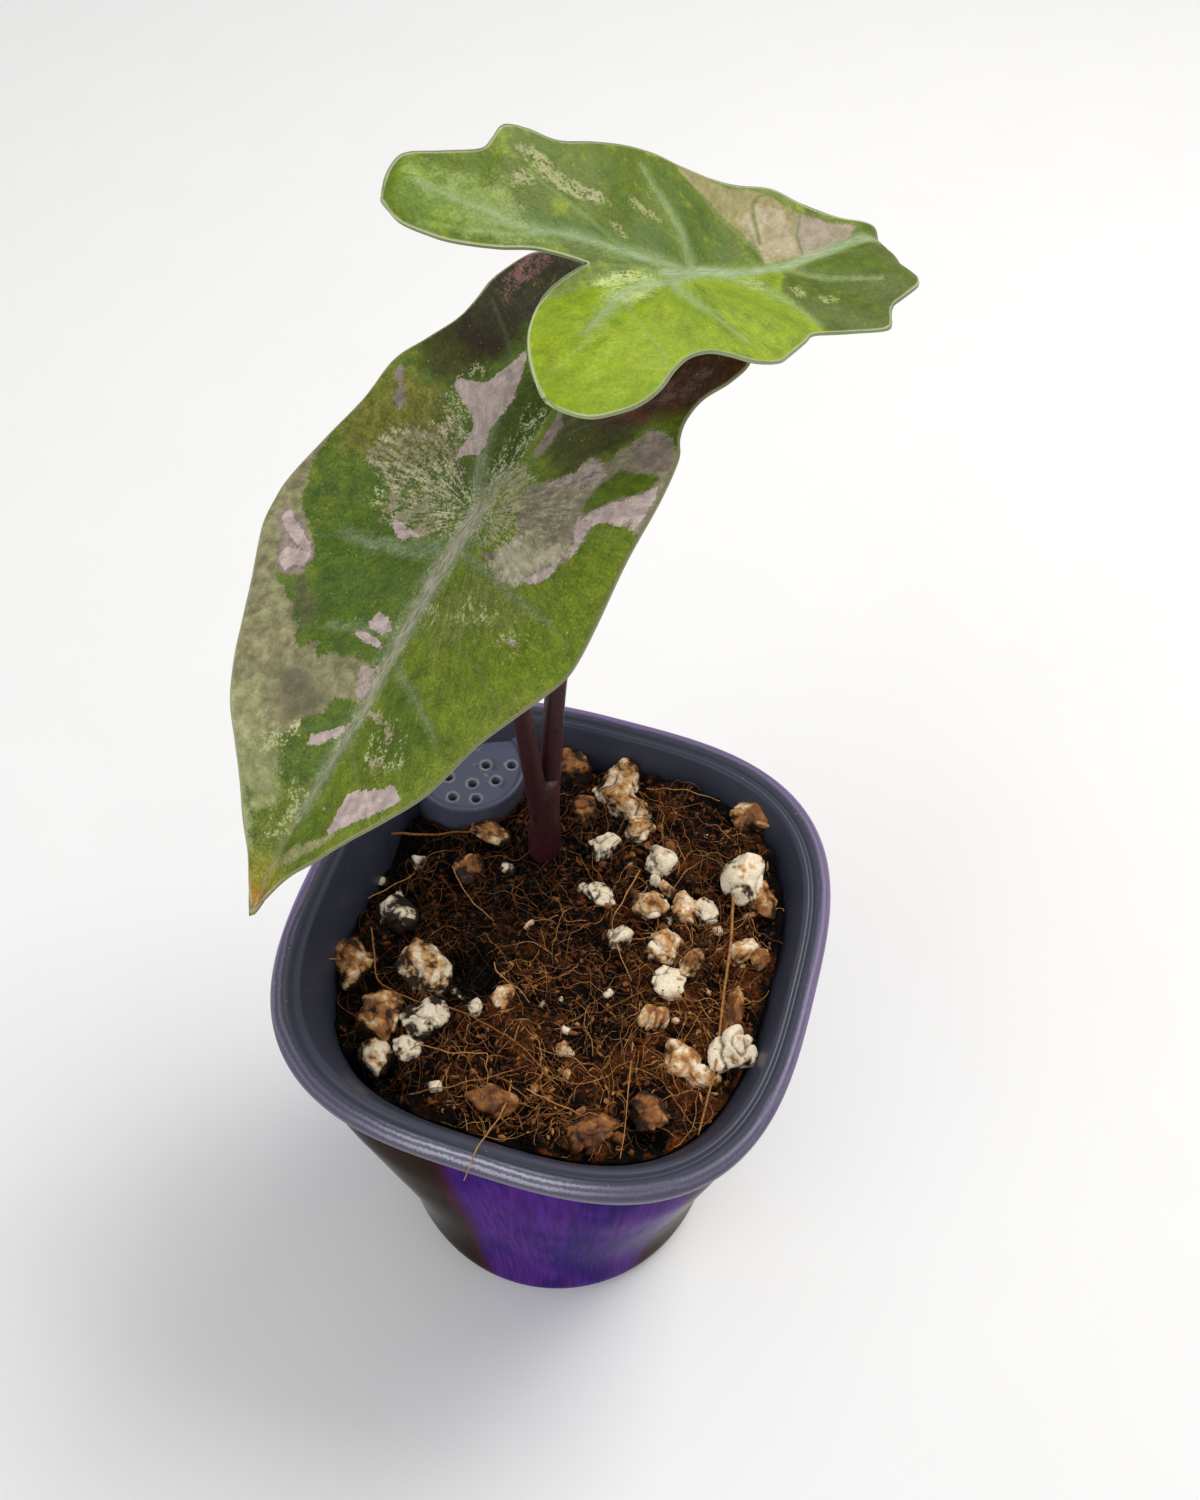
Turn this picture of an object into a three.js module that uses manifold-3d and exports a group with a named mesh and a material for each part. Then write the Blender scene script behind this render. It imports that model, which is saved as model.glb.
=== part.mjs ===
// A young alocasia with two arrow-shaped leaves, in a self-watering double pot.
// Millimetres, +Z up. The origin is the centre of the outer pot's flat foot.
// The pot is square to X and Y; its front is towards -Y.

import * as THREE from 'three'
import { mergeVertices } from 'three/addons/utils/BufferGeometryUtils.js'
import Module from 'manifold-3d'

const wasm = await Module()
wasm.setup()

// Driving sizes of the two pots
const RIM_HALF = 55            // half the outer width of the liner's lip
const POT_HEIGHT = 134         // foot to the top of the lip
const RIM_SQUARENESS = 3.0     // superellipse exponent at the rim, 2 is round
const FOOT_SQUARENESS = 2.0
const POT_WALL = 1.6
const POT_FLOOR = 2.4
const LINER_WALL = 1.3
const LINER_FLOOR = 1.6
const LINER_FLOOR_HEIGHT = 48  // underside of the liner's floor above the foot
const GAP = 0.3                // clearance between pieces that touch
const POT_SEGMENTS = 48
const BORE_LENGTH = 6          // a cutter long enough to pass through a floor or a plate

// Driving sizes of the water inlet in the liner's back left corner
const INLET = { x: -33, y: 35, radius: 13.2, wall: 1.3, top: 128, plate: 1.6, lip: 0.9, lipWidth: 1.4 }
const INLET_SEGMENTS = 32
const INLET_HOLE = 1.1
const INLET_HOLES = [
  [2.4, -4.6], [7.2, -2.2], [4.6, -8.2], [-0.6, -9.4], [9.2, 3.0], [3.6, 1.2], [-3.4, -4.6],
]

// The drain holes in the liner's floor lie on a ring, clear of the inlet column
const DRAIN_HOLES = 6
const DRAIN_HOLE = 2.2
const DRAIN_RING = { y: -6, radius: 17, start: 15 }

// Driving sizes of the potting mix
const SOIL_LEVEL = 124.5       // mean height of its surface
const SOIL_SINK_LEFT = 6.5     // how much lower it lies along the left wall
const SOIL_EDGE = 8            // depth of the crumbly layer at the top
const SOIL_RINGS = 11

// Driving sizes of the stem
const STEM_BASE = [-10.1, 21, 108]
const SHEATH_RADIUS = 3.7
const SHEATH_SWELL = 0.5       // how much thicker the sheath is at the soil
const PETIOLE_RADIUS = 2.05
const PETIOLE_NECK = 4.5       // straight stretch under the blade
const BLADE_THICKNESS = 0.8
const STEM_HOLE_CLEARANCE = 0.5

const rad = THREE.MathUtils.degToRad
const lerp = THREE.MathUtils.lerp

// A small seeded generator, so that the chips fall in the same places every time
function makeRandom(seed) {
  let state = seed >>> 0
  return () => {
    state = (Math.imul(state, 1664525) + 1013904223) >>> 0
    return state / 4294967296
  }
}

// Solids: a closed geometry with shared vertices, to the boolean library and back
function toSolid(geometry) {
  const bare = geometry.clone()
  bare.deleteAttribute('normal')
  bare.deleteAttribute('uv')
  const merged = mergeVertices(bare, 1e-4)
  const index = Array.from(merged.index.array)
  const triVerts = []
  for (let i = 0; i < index.length; i += 3) {
    const [a, b, c] = [index[i], index[i + 1], index[i + 2]]
    if (a !== b && b !== c && c !== a) triVerts.push(a, b, c)
  }
  const vertProperties = new Float32Array(merged.attributes.position.array)
  const mesh = new wasm.Mesh({ numProp: 3, vertProperties, triVerts: new Uint32Array(triVerts) })
  return new wasm.Manifold(mesh)
}

function toGeometry(solid) {
  const { vertProperties, triVerts, numProp } = solid.getMesh()
  const position = new Float32Array((vertProperties.length / numProp) * 3)
  for (let i = 0; i < position.length / 3; i += 1) {
    for (let k = 0; k < 3; k += 1) position[i * 3 + k] = vertProperties[i * numProp + k]
  }
  const geometry = new THREE.BufferGeometry()
  geometry.setAttribute('position', new THREE.BufferAttribute(position, 3))
  geometry.setIndex(Array.from(triVerts))
  geometry.computeVertexNormals()
  return geometry
}

// The largest body of a solid: what a cut leaves loose beside it is dropped
function mainBody(solid) {
  return solid.decompose().reduce((a, b) => (a.volume() >= b.volume() ? a : b))
}

// Radius of a superellipse of unit half-width, in a direction
function squareness(angle, exponent) {
  const c = Math.abs(Math.cos(angle))
  const s = Math.abs(Math.sin(angle))
  return (c ** exponent + s ** exponent) ** (-1 / exponent)
}

// How square the pot is at a height: round at the foot, rounded square at the rim
function exponentAt(z) {
  const t = THREE.MathUtils.smoothstep(z, 0, POT_HEIGHT)
  return lerp(FOOT_SQUARENESS, RIM_SQUARENESS, t)
}

// A lathe turned from [half-width, height] points, then squared off by height
function squaredLathe(profile, segments = POT_SEGMENTS) {
  const points = profile.map(([halfWidth, z]) => new THREE.Vector2(halfWidth, z))
  const geometry = new THREE.LatheGeometry(points, segments)
  geometry.rotateX(Math.PI / 2)
  const position = geometry.attributes.position
  for (let i = 0; i < position.count; i += 1) {
    const [x, y, z] = [position.getX(i), position.getY(i), position.getZ(i)]
    if (Math.hypot(x, y) < 1e-6) continue
    const k = squareness(Math.atan2(y, x), exponentAt(z))
    position.setXYZ(i, x * k, y * k, z)
  }
  return geometry
}

// The outer pot's outside, as [half-width, height] points
const POT_SIDE = [
  [42.2, 9], [42.8, 26], [43.7, 40], [45.2, 55], [46.9, 70], [48.5, 85], [50.3, 100], [52.6, 130],
]

function makeOuterPot() {
  const outside = [[0, 0], [36.5, 0], [39.4, 0.9], [41.6, 3.8], ...POT_SIDE, [53.1, 130.8], [52.6, 131.4]]
  const inside = POT_SIDE.map(([halfWidth, z]) => [halfWidth - POT_WALL, z]).reverse()
  const floor = [[39.0, 4.4], [36.5, POT_FLOOR], [0, POT_FLOOR]]
  return toSolid(squaredLathe([...outside, [51.2, 131.4], ...inside, ...floor]))
}

// The liner's inner face, from the ridge inside its lip down to its floor
const LINER_INSIDE = [
  [49.4, 133.1], [47.6, 129.2], [45.7, 123.5], [43.6, 108], [40.0, 76], [37.2, 56], [35.6, 49.6],
]

function linerHalfWidth(z) {
  const below = LINER_INSIDE.findIndex(([, height]) => height <= z)
  if (below <= 0) return below === 0 ? LINER_INSIDE[0][0] : LINER_INSIDE.at(-1)[0]
  const [[a0, z0], [a1, z1]] = [LINER_INSIDE[below - 1], LINER_INSIDE[below]]
  return lerp(a0, a1, (z - z0) / (z1 - z0))
}

// A solid that fills the liner's hollow, drawn in by an inset, up to a height
function linerFilling(inset, bottom, top) {
  const heights = LINER_INSIDE.map(([, z]) => z).filter((z) => z > bottom && z < top).reverse()
  const side = [bottom, ...heights, top].map((z) => [linerHalfWidth(z) - inset, z])
  return toSolid(squaredLathe([[0, bottom], ...side, [0, top]]))
}

// The liner's lip, from under its outer bead over the top to the ridge inside
const LINER_LIP = [
  [50.6, 131.7], [53.4, 131.7], [53.4, 129.9], [54.8, 129.9], [RIM_HALF, 131.0], [RIM_HALF, 132.6],
  [54.3, 133.7], [53.3, POT_HEIGHT], [52.3, 133.7], [51.2, 132.9], [50.3, 133.6],
]

function standingCylinder(radius, from, to, x, y, segments) {
  const height = to - from
  const geometry = new THREE.CylinderGeometry(radius, radius, height, segments)
  return toSolid(geometry.rotateX(Math.PI / 2).translate(x, y, from + height / 2))
}

function makeLinerShell() {
  const floorTop = LINER_FLOOR_HEIGHT + LINER_FLOOR
  const [floorHalf] = LINER_INSIDE.at(-1)
  const bottom = [[0, LINER_FLOOR_HEIGHT], [floorHalf - 0.4, LINER_FLOOR_HEIGHT]]
  const corner = [floorHalf + LINER_WALL, LINER_FLOOR_HEIGHT + 2.2]
  const outside = LINER_INSIDE.slice(1, -1).map(([a, z]) => [a + LINER_WALL, z]).reverse()
  const inside = [...LINER_INSIDE, [0, floorTop]]
  return toSolid(squaredLathe([...bottom, corner, ...outside, ...LINER_LIP, ...inside]))
}

// The water inlet: a column up the corner, closed by a plate with holes and a rolled lip
function makeLiner() {
  const { x, y, radius, wall, top, plate, lip, lipWidth } = INLET
  const standing = (r, from, to) => standingCylinder(r, from, to, x, y, INLET_SEGMENTS)
  const bottom = LINER_FLOOR_HEIGHT + LINER_FLOOR / 3
  const inWall = linerFilling(-LINER_WALL / 2, bottom, POT_HEIGHT - 2)
  const inHollow = linerFilling(wall, LINER_FLOOR_HEIGHT - 1, POT_HEIGHT)
  const rolledLip = standing(radius, top - plate, top + lip)
    .subtract(standing(radius - lipWidth, top - 2 * plate, POT_HEIGHT))
  const column = standing(radius, bottom, top).add(rolledLip).intersect(inWall)
  const bore = standing(radius - wall, LINER_FLOOR_HEIGHT - 1, top - plate).intersect(inHollow)
  let liner = makeLinerShell().add(column).subtract(bore)
  for (const [dx, dy] of INLET_HOLES) {
    const from = top - BORE_LENGTH / 2
    liner = liner.subtract(standingCylinder(INLET_HOLE, from, from + BORE_LENGTH, x + dx, y + dy, 8))
  }
  for (let i = 0; i < DRAIN_HOLES; i += 1) {
    const angle = rad(DRAIN_RING.start + (i * 360) / DRAIN_HOLES)
    const [dx, dy] = [DRAIN_RING.radius * Math.cos(angle), DRAIN_RING.radius * Math.sin(angle)]
    const from = LINER_FLOOR_HEIGHT - BORE_LENGTH / 2
    liner = liner.subtract(standingCylinder(DRAIN_HOLE, from, from + BORE_LENGTH, dx, DRAIN_RING.y + dy, 8))
  }
  return mainBody(liner)
}

// The mix's surface: low hollows and swells, lower to the left and heaped at the back
function soilHeight(x, y) {
  const sink = SOIL_SINK_LEFT * THREE.MathUtils.smoothstep(-x, 6, 44)
  const heap = 3.0 * THREE.MathUtils.smoothstep(x + 0.6 * y, 10, 52)
  const swell = 0.9 * Math.sin(x * 0.21 + 1.1) * Math.cos(y * 0.24 - 0.4)
  const crumbs = 0.55 * Math.sin(x * 0.83 + y * 0.31) * Math.sin(y * 0.77 - x * 0.42 + 2.0)
  return SOIL_LEVEL - sink + heap + swell + crumbs
}

// Chunks of pumice, bark and perlite that lie on top: [x, y, width, length, height, turn in degrees]
const CHUNKS = [
  [-41.5, -15.5, 9.5, 10.5, 7, 20], [-37.2, -2, 8, 8.5, 6, 70], [-25.8, -13.8, 10.5, 13, 9, 35],
  [-21, -26, 8, 9.5, 6.5, 110], [-30.5, -26.5, 9, 9.5, 7, 0], [-28, -35.5, 6.5, 8, 5.5, 40],
  [-23.8, 22.4, 5.5, 10.5, 5, 80], [-25.2, 13, 6, 7, 4.5, 20], [-11, 43.4, 8.5, 9, 8, 0],
  [0.5, 39, 8.5, 10, 8, 30], [6.2, 36, 7, 8, 7, 80], [-4.6, 33.6, 6, 6, 5, 15],
  [2.6, 25, 5, 7, 5.5, 150], [9.2, 31.2, 6, 7, 5.5, 60], [15.8, 24.4, 7, 6.5, 6, 10],
  [32.8, 41, 7.5, 10, 6, 100], [34.6, 24.2, 9, 11, 9, 10], [28.6, 15.2, 5.5, 6, 5, 45],
  [16.4, 12.6, 6.5, 8, 6, 130], [5.4, 13.6, 5, 7, 4.5, 80], [12.3, 4.4, 4.5, 7, 5, 150],
  [22, 4, 7.5, 8, 5.5, 60], [24.4, -11.4, 5.5, 5.5, 4.5, 0], [42, -15.4, 7.5, 10, 8, 150],
  [32.4, -19, 6.5, 8, 5, 60], [39.6, 20.4, 6, 8, 5, 40], [37.5, -21.6, 5, 6.5, 4.5, 100],
  [-1.6, -38, 6, 9, 5, 80], [19.6, -38.6, 6, 10, 5, 120], [28.8, -31, 6.5, 7, 5, 55],
  [2.2, 43.6, 6.5, 7.5, 7, 20], [23.6, 14.1, 5, 7, 5, 20], [28.9, 1.7, 4, 7.5, 4.5, 160],
  [25.1, -3.3, 6, 7, 4, 70], [40, -6.3, 4, 11, 5, 0], [-22.2, -31.6, 5, 6, 4, 30],
]
const LARGE_CHUNK = 8.5        // chunks this wide get finer faces
const CHUNK_SINK = 0.16        // a chunk's centre above the mix, as a share of its height
const SMALL_CHIPS = 18

// One chunk: a low ball with seeded dents, turned and sunk into the mix
function makeChunk([x, y, width, length, height, turn], random) {
  const ball = new THREE.IcosahedronGeometry(0.5, width < LARGE_CHUNK ? 0 : 1)
  ball.deleteAttribute('normal')
  ball.deleteAttribute('uv')
  const chunk = mergeVertices(ball, 1e-4)
  const position = chunk.attributes.position
  for (let i = 0; i < position.count; i += 1) {
    const dent = 0.86 + 0.26 * random()
    position.setXYZ(i, position.getX(i) * dent, position.getY(i) * dent, position.getZ(i) * dent)
  }
  chunk.scale(width, length, height).rotateZ(rad(turn))
  chunk.translate(x, y, soilHeight(x, y) + height * CHUNK_SINK)
  return toSolid(chunk)
}

// A small chip somewhere on the mix, by the same rule as the chunks
function makeChip(random) {
  const reach = linerHalfWidth(SOIL_LEVEL) - 7
  const angle = random() * Math.PI * 2
  const distance = Math.sqrt(random()) * reach
  const size = 2.4 + random() * 1.8
  const [x, y] = [distance * Math.cos(angle), distance * Math.sin(angle)]
  return makeChunk([x, y, size, size * 1.4, size, random() * 180], random)
}

// The mix's body: the liner's shape with its top in rings, which are then raised to the surface
function makeSoilBody(floor) {
  const layer = SOIL_LEVEL - SOIL_EDGE
  const heights = LINER_INSIDE.map(([, z]) => z).filter((z) => z > floor && z < layer).reverse()
  const side = [floor, ...heights, layer, SOIL_LEVEL].map((z) => [linerHalfWidth(z) - GAP, z])
  const [edge] = side.at(-1)
  const surface = []
  for (let i = SOIL_RINGS - 1; i >= 0; i -= 1) surface.push([(edge * i) / SOIL_RINGS, SOIL_LEVEL])
  const geometry = squaredLathe([[0, floor], ...side, ...surface])
  const position = geometry.attributes.position
  for (let i = 0; i < position.count; i += 1) {
    if (position.getZ(i) < SOIL_LEVEL - 1) continue
    const [x, y] = [position.getX(i), position.getY(i)]
    const height = soilHeight(x, y)
    const squeeze = Math.min(1, (linerHalfWidth(height) - GAP) / edge)
    position.setXYZ(i, x * squeeze, y * squeeze, height)
  }
  return toSolid(geometry)
}

function makeSoil() {
  const floor = LINER_FLOOR_HEIGHT + LINER_FLOOR + GAP
  const random = makeRandom(11)
  const pieces = [makeSoilBody(floor)]
  for (const chunk of CHUNKS) pieces.push(makeChunk(chunk, random))
  for (let i = 0; i < SMALL_CHIPS; i += 1) pieces.push(makeChip(random))
  const filled = wasm.Manifold.union(pieces).intersect(linerFilling(GAP, floor, POT_HEIGHT - 0.5))
  const inlet = standingCylinder(
    INLET.radius + GAP, LINER_FLOOR_HEIGHT, POT_HEIGHT, INLET.x, INLET.y, INLET_SEGMENTS,
  )
  return mainBody(filled.subtract(inlet).subtract(stemHole()))
}

// The two leaf blades. A blade is a sheet with two coordinates: u runs along the midrib,
// 0 at the petiole and positive towards the tip, and v runs out to each side.
// heading, droop and roll turn the whole blade; bend lists how far the midrib has turned
// down at a distance u; each side rises from the midrib by an angle and curls over by
// so many degrees a millimetre, with values of its own in the lobes.
const LOWER_BLADE = {
  seat: [-23.1, 27.1, 219], heading: -107, droop: 26, roll: 9,
  bend: [[-55, -14], [0, 0], [80, 6]], blendAt: -5, blend: 9,
  rise: [18, 18], curl: [0.4, 0.4], lobeRise: [18, 18], lobeCurl: [0.4, 0.4],
  veins: 8, pleat: 0.5, ribDepth: 1.0,
  sinus: [-27, 1],
  sides: [
    {
      lobeEdge: [[-47, 24], [-45, 18], [-40, 14], [-34, 10]],
      margin: [
        [-47, 24], [-46, 28.5], [-41, 32.2], [-36.5, 31.5], [-32, 29], [-27.5, 28.6], [-24, 29.7],
        [-20.5, 31.9], [-13, 33.4], [-2.5, 34.1], [8, 35.4], [15, 36], [19, 35.6], [23.5, 33.5],
        [28, 31], [35, 27.3], [45, 23.6], [52, 18.8], [59, 12.9], [65, 8.2], [71, 3.4], [79, 0],
      ],
    },
    {
      lobeEdge: [[-51.5, -12], [-50, -8], [-43, -5.5], [-35, -3.5]],
      margin: [
        [-51.5, -12], [-50.7, -15.4], [-48.5, -20.5], [-45.5, -22.6], [-39.5, -24.4], [-34.5, -24.4],
        [-29.5, -25], [-23.5, -27.8], [-17.5, -30.7], [-8.6, -31.3], [1, -33.7], [10, -35.8],
        [14.5, -35.9], [18.5, -35.5], [22, -34.3], [29, -31.2], [36, -28.5], [42.5, -26], [49, -22.5],
        [54.5, -17.9], [60, -13.3], [65.5, -9.2], [71, -4.8], [79, 0],
      ],
    },
  ],
}

const UPPER_BLADE = {
  seat: [2.8, 58.9, 252], heading: 49, droop: 19, roll: 10,
  bend: [[-42, -32], [0, 0], [37.5, -18.8], [46, 52], [62, 66]], blendAt: 0, blend: 6,
  rise: [16, 12.5], curl: [0.48, 0.76], lobeRise: [20, 20], lobeCurl: [-0.05, 0.33],
  veins: 7, pleat: 0.4, ribDepth: 0.9,
  sinus: [-17.3, 4.2],
  sides: [
    {
      lobeEdge: [[-42, 24.2], [-41.2, 20.2], [-38.2, 16.4], [-34.8, 13.5], [-29.6, 10.5], [-23.9, 8.3]],
      margin: [
        [-42, 24.2], [-40.3, 27], [-37.7, 29.1], [-35.5, 29.3], [-31.6, 27.8], [-26.2, 26.2],
        [-24, 27.2], [-22, 28.8], [-20.5, 28.9], [-17.8, 27.5], [-13.8, 24.9], [-7, 24.4], [4, 23.9],
        [10, 21.2], [15, 18.4], [19.4, 16.5], [26, 14.5], [30.3, 10.4], [36.4, 5.6], [40.5, 4],
        [45.5, 4], [52, 2.2], [60, -3],
      ],
    },
    {
      lobeEdge: [[-37, -22], [-36.4, -17.1], [-34.7, -11.3], [-32, -5.6], [-27.6, 0], [-23, 2.5]],
      margin: [
        [-37, -22], [-35.8, -25.8], [-33.5, -28.9], [-30.4, -30], [-26.8, -30.1], [-22.9, -28.5],
        [-18.8, -25.3], [-15.1, -23.2], [-11.3, -22.7], [-8.4, -23.8], [-5.6, -25.2], [-2.5, -25.3],
        [1.9, -24.2], [6.1, -22.1], [11.7, -19.3], [14.8, -18], [21.9, -18.9], [28.7, -20.1],
        [30.6, -19.2], [31.7, -17.5], [33.2, -15.9], [35.2, -15.2], [38.2, -14.2], [40.4, -12.8],
        [42.4, -10.4], [45.6, -7.4], [50, -5], [55, -3.4], [60, -3],
      ],
    },
  ],
}
const ROWS = 40                // steps along each half of a blade
const COLUMNS = 7              // steps from the midrib out to the margin

// Directions of a blade: along the midrib, out to the +v side, and up from the upper face
function bladeAxes(blade) {
  const [heading, droop, roll] = [rad(blade.heading), rad(blade.droop), rad(blade.roll)]
  const along = new THREE.Vector3(
    Math.cos(droop) * Math.cos(heading), Math.cos(droop) * Math.sin(heading), -Math.sin(droop),
  )
  const level = new THREE.Vector3(-Math.sin(heading), Math.cos(heading), 0)
  const across = level.clone().applyAxisAngle(along, roll)
  const up = along.clone().cross(across)
  return { along, across, up }
}

// Value of a list of [position, value] pairs at a position, straight between its points
function valueAt(pairs, position) {
  const next = pairs.findIndex(([at]) => at >= position)
  if (next === 0) return pairs[0][1]
  if (next < 0) return pairs.at(-1)[1]
  const [[p0, v0], [p1, v1]] = [pairs[next - 1], pairs[next]]
  return lerp(v0, v1, (position - p0) / (p1 - p0))
}

// The midrib's run and height at u, summed in short steps along its bend
function midribAt(blade, u) {
  const steps = Math.max(1, Math.ceil(Math.abs(u)))
  let [run, height] = [0, 0]
  for (let i = 0; i < steps; i += 1) {
    const slope = rad(valueAt(blade.bend, (u * (i + 0.5)) / steps))
    run += (Math.cos(slope) * u) / steps
    height -= (Math.sin(slope) * u) / steps
  }
  return [run, height, rad(valueAt(blade.bend, u))]
}

// A point of the blade's middle sheet, lifted by an amount along its up direction
function bladePoint(blade, axes, u, v, lift) {
  const [run, height, slope] = midribAt(blade, u)
  const side = v > 0 ? 0 : 1
  const weight = 1 / (1 + Math.exp(-(u - blade.blendAt) / blade.blend))
  const rise = rad(lerp(blade.lobeRise[side], blade.rise[side], weight))
  const curl = rad(lerp(blade.lobeCurl[side], blade.curl[side], weight))
  const turn = Math.abs(curl) < 1e-6 ? 1e-6 : curl
  const reach = Math.abs(v)
  const out = ((Math.sin(rise) - Math.sin(rise - turn * reach)) / turn) * Math.sign(v)
  const above = (Math.cos(rise - turn * reach) - Math.cos(rise)) / turn + lift
  return new THREE.Vector3(...blade.seat)
    .addScaledVector(axes.along, run + above * Math.sin(slope))
    .addScaledVector(axes.up, height + above * Math.cos(slope))
    .addScaledVector(axes.across, out)
}

function flatCurve(points) {
  return new THREE.SplineCurve(points.map(([u, v]) => new THREE.Vector2(u, v)))
}

// How many of a blade's rows start on its lobes' edges; alike on both halves, which share the midrib
function lobeRowsOf(blade) {
  const lengths = blade.sides.map((side) => flatCurve([...side.lobeEdge, blade.sinus]).getLength())
  const mean = (lengths[0] + lengths[1]) / 2
  const [tipU] = blade.sides[0].margin.at(-1)
  return Math.round((ROWS * mean) / (mean + tipU - blade.sinus[0]))
}

// One half of a blade as rows of [u, v]: from its lobe's edge and the midrib out to the margin
function halfRows(blade, side, lobeRows) {
  const tip = side.margin.at(-1)
  const lobe = flatCurve([...side.lobeEdge, blade.sinus])
  const margin = flatCurve(side.margin).getSpacedPoints(ROWS)
  const rows = []
  for (let i = 0; i <= ROWS; i += 1) {
    const inner = i <= lobeRows
      ? lobe.getPointAt(i / lobeRows)
      : ribLine(blade, tip, (i - lobeRows) / (ROWS - lobeRows))
    const row = []
    for (let j = 0; j <= COLUMNS; j += 1) {
      const w = j / COLUMNS
      row.push({ u: lerp(inner.x, margin[i].x, w), v: lerp(inner.y, margin[i].y, w), t: i / ROWS, w })
    }
    rows.push(row)
  }
  return rows
}

// The seam of the two halves, from the sinus onto the midrib and on to the tip
function ribLine(blade, tip, t) {
  const [u0, v0] = blade.sinus
  const u = lerp(u0, tip[0], t)
  const swerve = u < 0 ? v0 * (u / u0) ** 2 : tip[1] * (u / tip[0]) ** 2
  return new THREE.Vector2(u, swerve)
}

// A closed blade: the sheet's upper and lower faces, split alike, and the edge between them
function makeBlade(blade) {
  const axes = bladeAxes(blade)
  const vertices = []
  const seen = new Map()
  const triangles = []
  const vertexOf = ({ u, v, t, w }) => {
    const key = `${u.toFixed(4)},${v.toFixed(4)}`
    if (!seen.has(key)) {
      seen.set(key, vertices.length)
      vertices.push({ u, v, t, w })
    }
    return seen.get(key)
  }
  const addTriangle = (a, b, c, flip) => {
    if (a === b || b === c || c === a) return
    triangles.push(flip ? [a, c, b] : [a, b, c])
  }
  const lobeRows = lobeRowsOf(blade)
  blade.sides.forEach((side, which) => {
    const rows = halfRows(blade, side, lobeRows).map((row) => row.map(vertexOf))
    for (let i = 0; i < ROWS; i += 1) {
      for (let j = 0; j < COLUMNS; j += 1) {
        const [a, b] = [rows[i][j], rows[i + 1][j]]
        const [c, d] = [rows[i][j + 1], rows[i + 1][j + 1]]
        addTriangle(a, b, d, which === 1)
        addTriangle(a, d, c, which === 1)
      }
    }
  })
  const middle = vertices.map((vertex) => (
    bladePoint(blade, axes, vertex.u, vertex.v, pleatLift(blade, vertex))
  ))
  const normals = sheetNormals(middle, triangles)
  const upper = middle.map((point, i) => point.clone().addScaledVector(normals[i], BLADE_THICKNESS / 2))
  const lower = middle.map((point, i) => {
    const rib = ribThickness(blade, vertices[i])
    return point.clone().addScaledVector(normals[i], -BLADE_THICKNESS / 2 - rib)
  })
  return closeSheet(upper, lower, triangles)
}

// Low pleats between the side veins, fading out at the midrib and the margin
function pleatLift(blade, { t, w }) {
  return blade.pleat * 4 * w * (1 - w) * Math.cos(2 * Math.PI * (blade.veins * t - 0.6 * w))
}

// The midrib stands out below the blade and thins towards the tip
function ribThickness(blade, { u, v }) {
  const [tipU] = blade.sides[0].margin.at(-1)
  const fade = u > 0 ? 1 - u / tipU : Math.max(0, 1 + u / 20)
  return blade.ribDepth * fade * Math.exp(-((v / 1.5) ** 2))
}

function sheetNormals(points, triangles) {
  const normals = points.map(() => new THREE.Vector3())
  for (const [a, b, c] of triangles) {
    const ab = points[b].clone().sub(points[a])
    const ac = points[c].clone().sub(points[a])
    const normal = ab.cross(ac)
    for (const i of [a, b, c]) normals[i].add(normal)
  }
  return normals.map((normal) => normal.normalize())
}

function closeSheet(upper, lower, triangles) {
  const count = upper.length
  const faces = []
  const edges = new Set(triangles.flatMap(([a, b, c]) => [`${a},${b}`, `${b},${c}`, `${c},${a}`]))
  for (const [a, b, c] of triangles) {
    faces.push(a, b, c, count + a, count + c, count + b)
    for (const [from, to] of [[a, b], [b, c], [c, a]]) {
      if (edges.has(`${to},${from}`)) continue
      faces.push(from, count + from, to, to, count + from, count + to)
    }
  }
  const geometry = new THREE.BufferGeometry()
  geometry.setFromPoints([...upper, ...lower])
  geometry.setIndex(faces)
  return toSolid(geometry)
}

// A round tube that tapers along a curve, closed at both ends
function taperedTube(points, radii, sides, steps) {
  const curve = new THREE.CatmullRomCurve3(points.map((point) => new THREE.Vector3(...point)))
  const frames = curve.computeFrenetFrames(steps, false)
  const vertices = []
  const faces = []
  for (let i = 0; i <= steps; i += 1) {
    const t = i / steps
    const centre = curve.getPointAt(t)
    const radius = valueAt(radii, t)
    for (let j = 0; j < sides; j += 1) {
      const angle = (j / sides) * Math.PI * 2
      const ring = centre.clone()
        .addScaledVector(frames.normals[i], radius * Math.cos(angle))
        .addScaledVector(frames.binormals[i], radius * Math.sin(angle))
      vertices.push(ring)
    }
  }
  for (let i = 0; i < steps; i += 1) {
    for (let j = 0; j < sides; j += 1) {
      const [a, b] = [i * sides + j, i * sides + ((j + 1) % sides)]
      faces.push(a, b, b + sides, a, b + sides, a + sides)
    }
  }
  const [first, last] = [vertices.length, vertices.length + 1]
  vertices.push(curve.getPointAt(0), curve.getPointAt(1))
  for (let j = 0; j < sides; j += 1) {
    const next = (j + 1) % sides
    faces.push(first, next, j)
    faces.push(last, steps * sides + j, steps * sides + next)
  }
  const geometry = new THREE.BufferGeometry()
  geometry.setFromPoints(vertices)
  geometry.setIndex(faces)
  return toSolid(geometry)
}

// A petiole's last two points: it turns to meet its blade squarely, just below the midrib
function petioleEnd(blade) {
  const { up } = bladeAxes(blade)
  const below = BLADE_THICKNESS / 2 + blade.ribDepth + GAP
  return [below + PETIOLE_NECK, below].map((distance) => (
    new THREE.Vector3(...blade.seat).addScaledVector(up, -distance).toArray()
  ))
}

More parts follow.
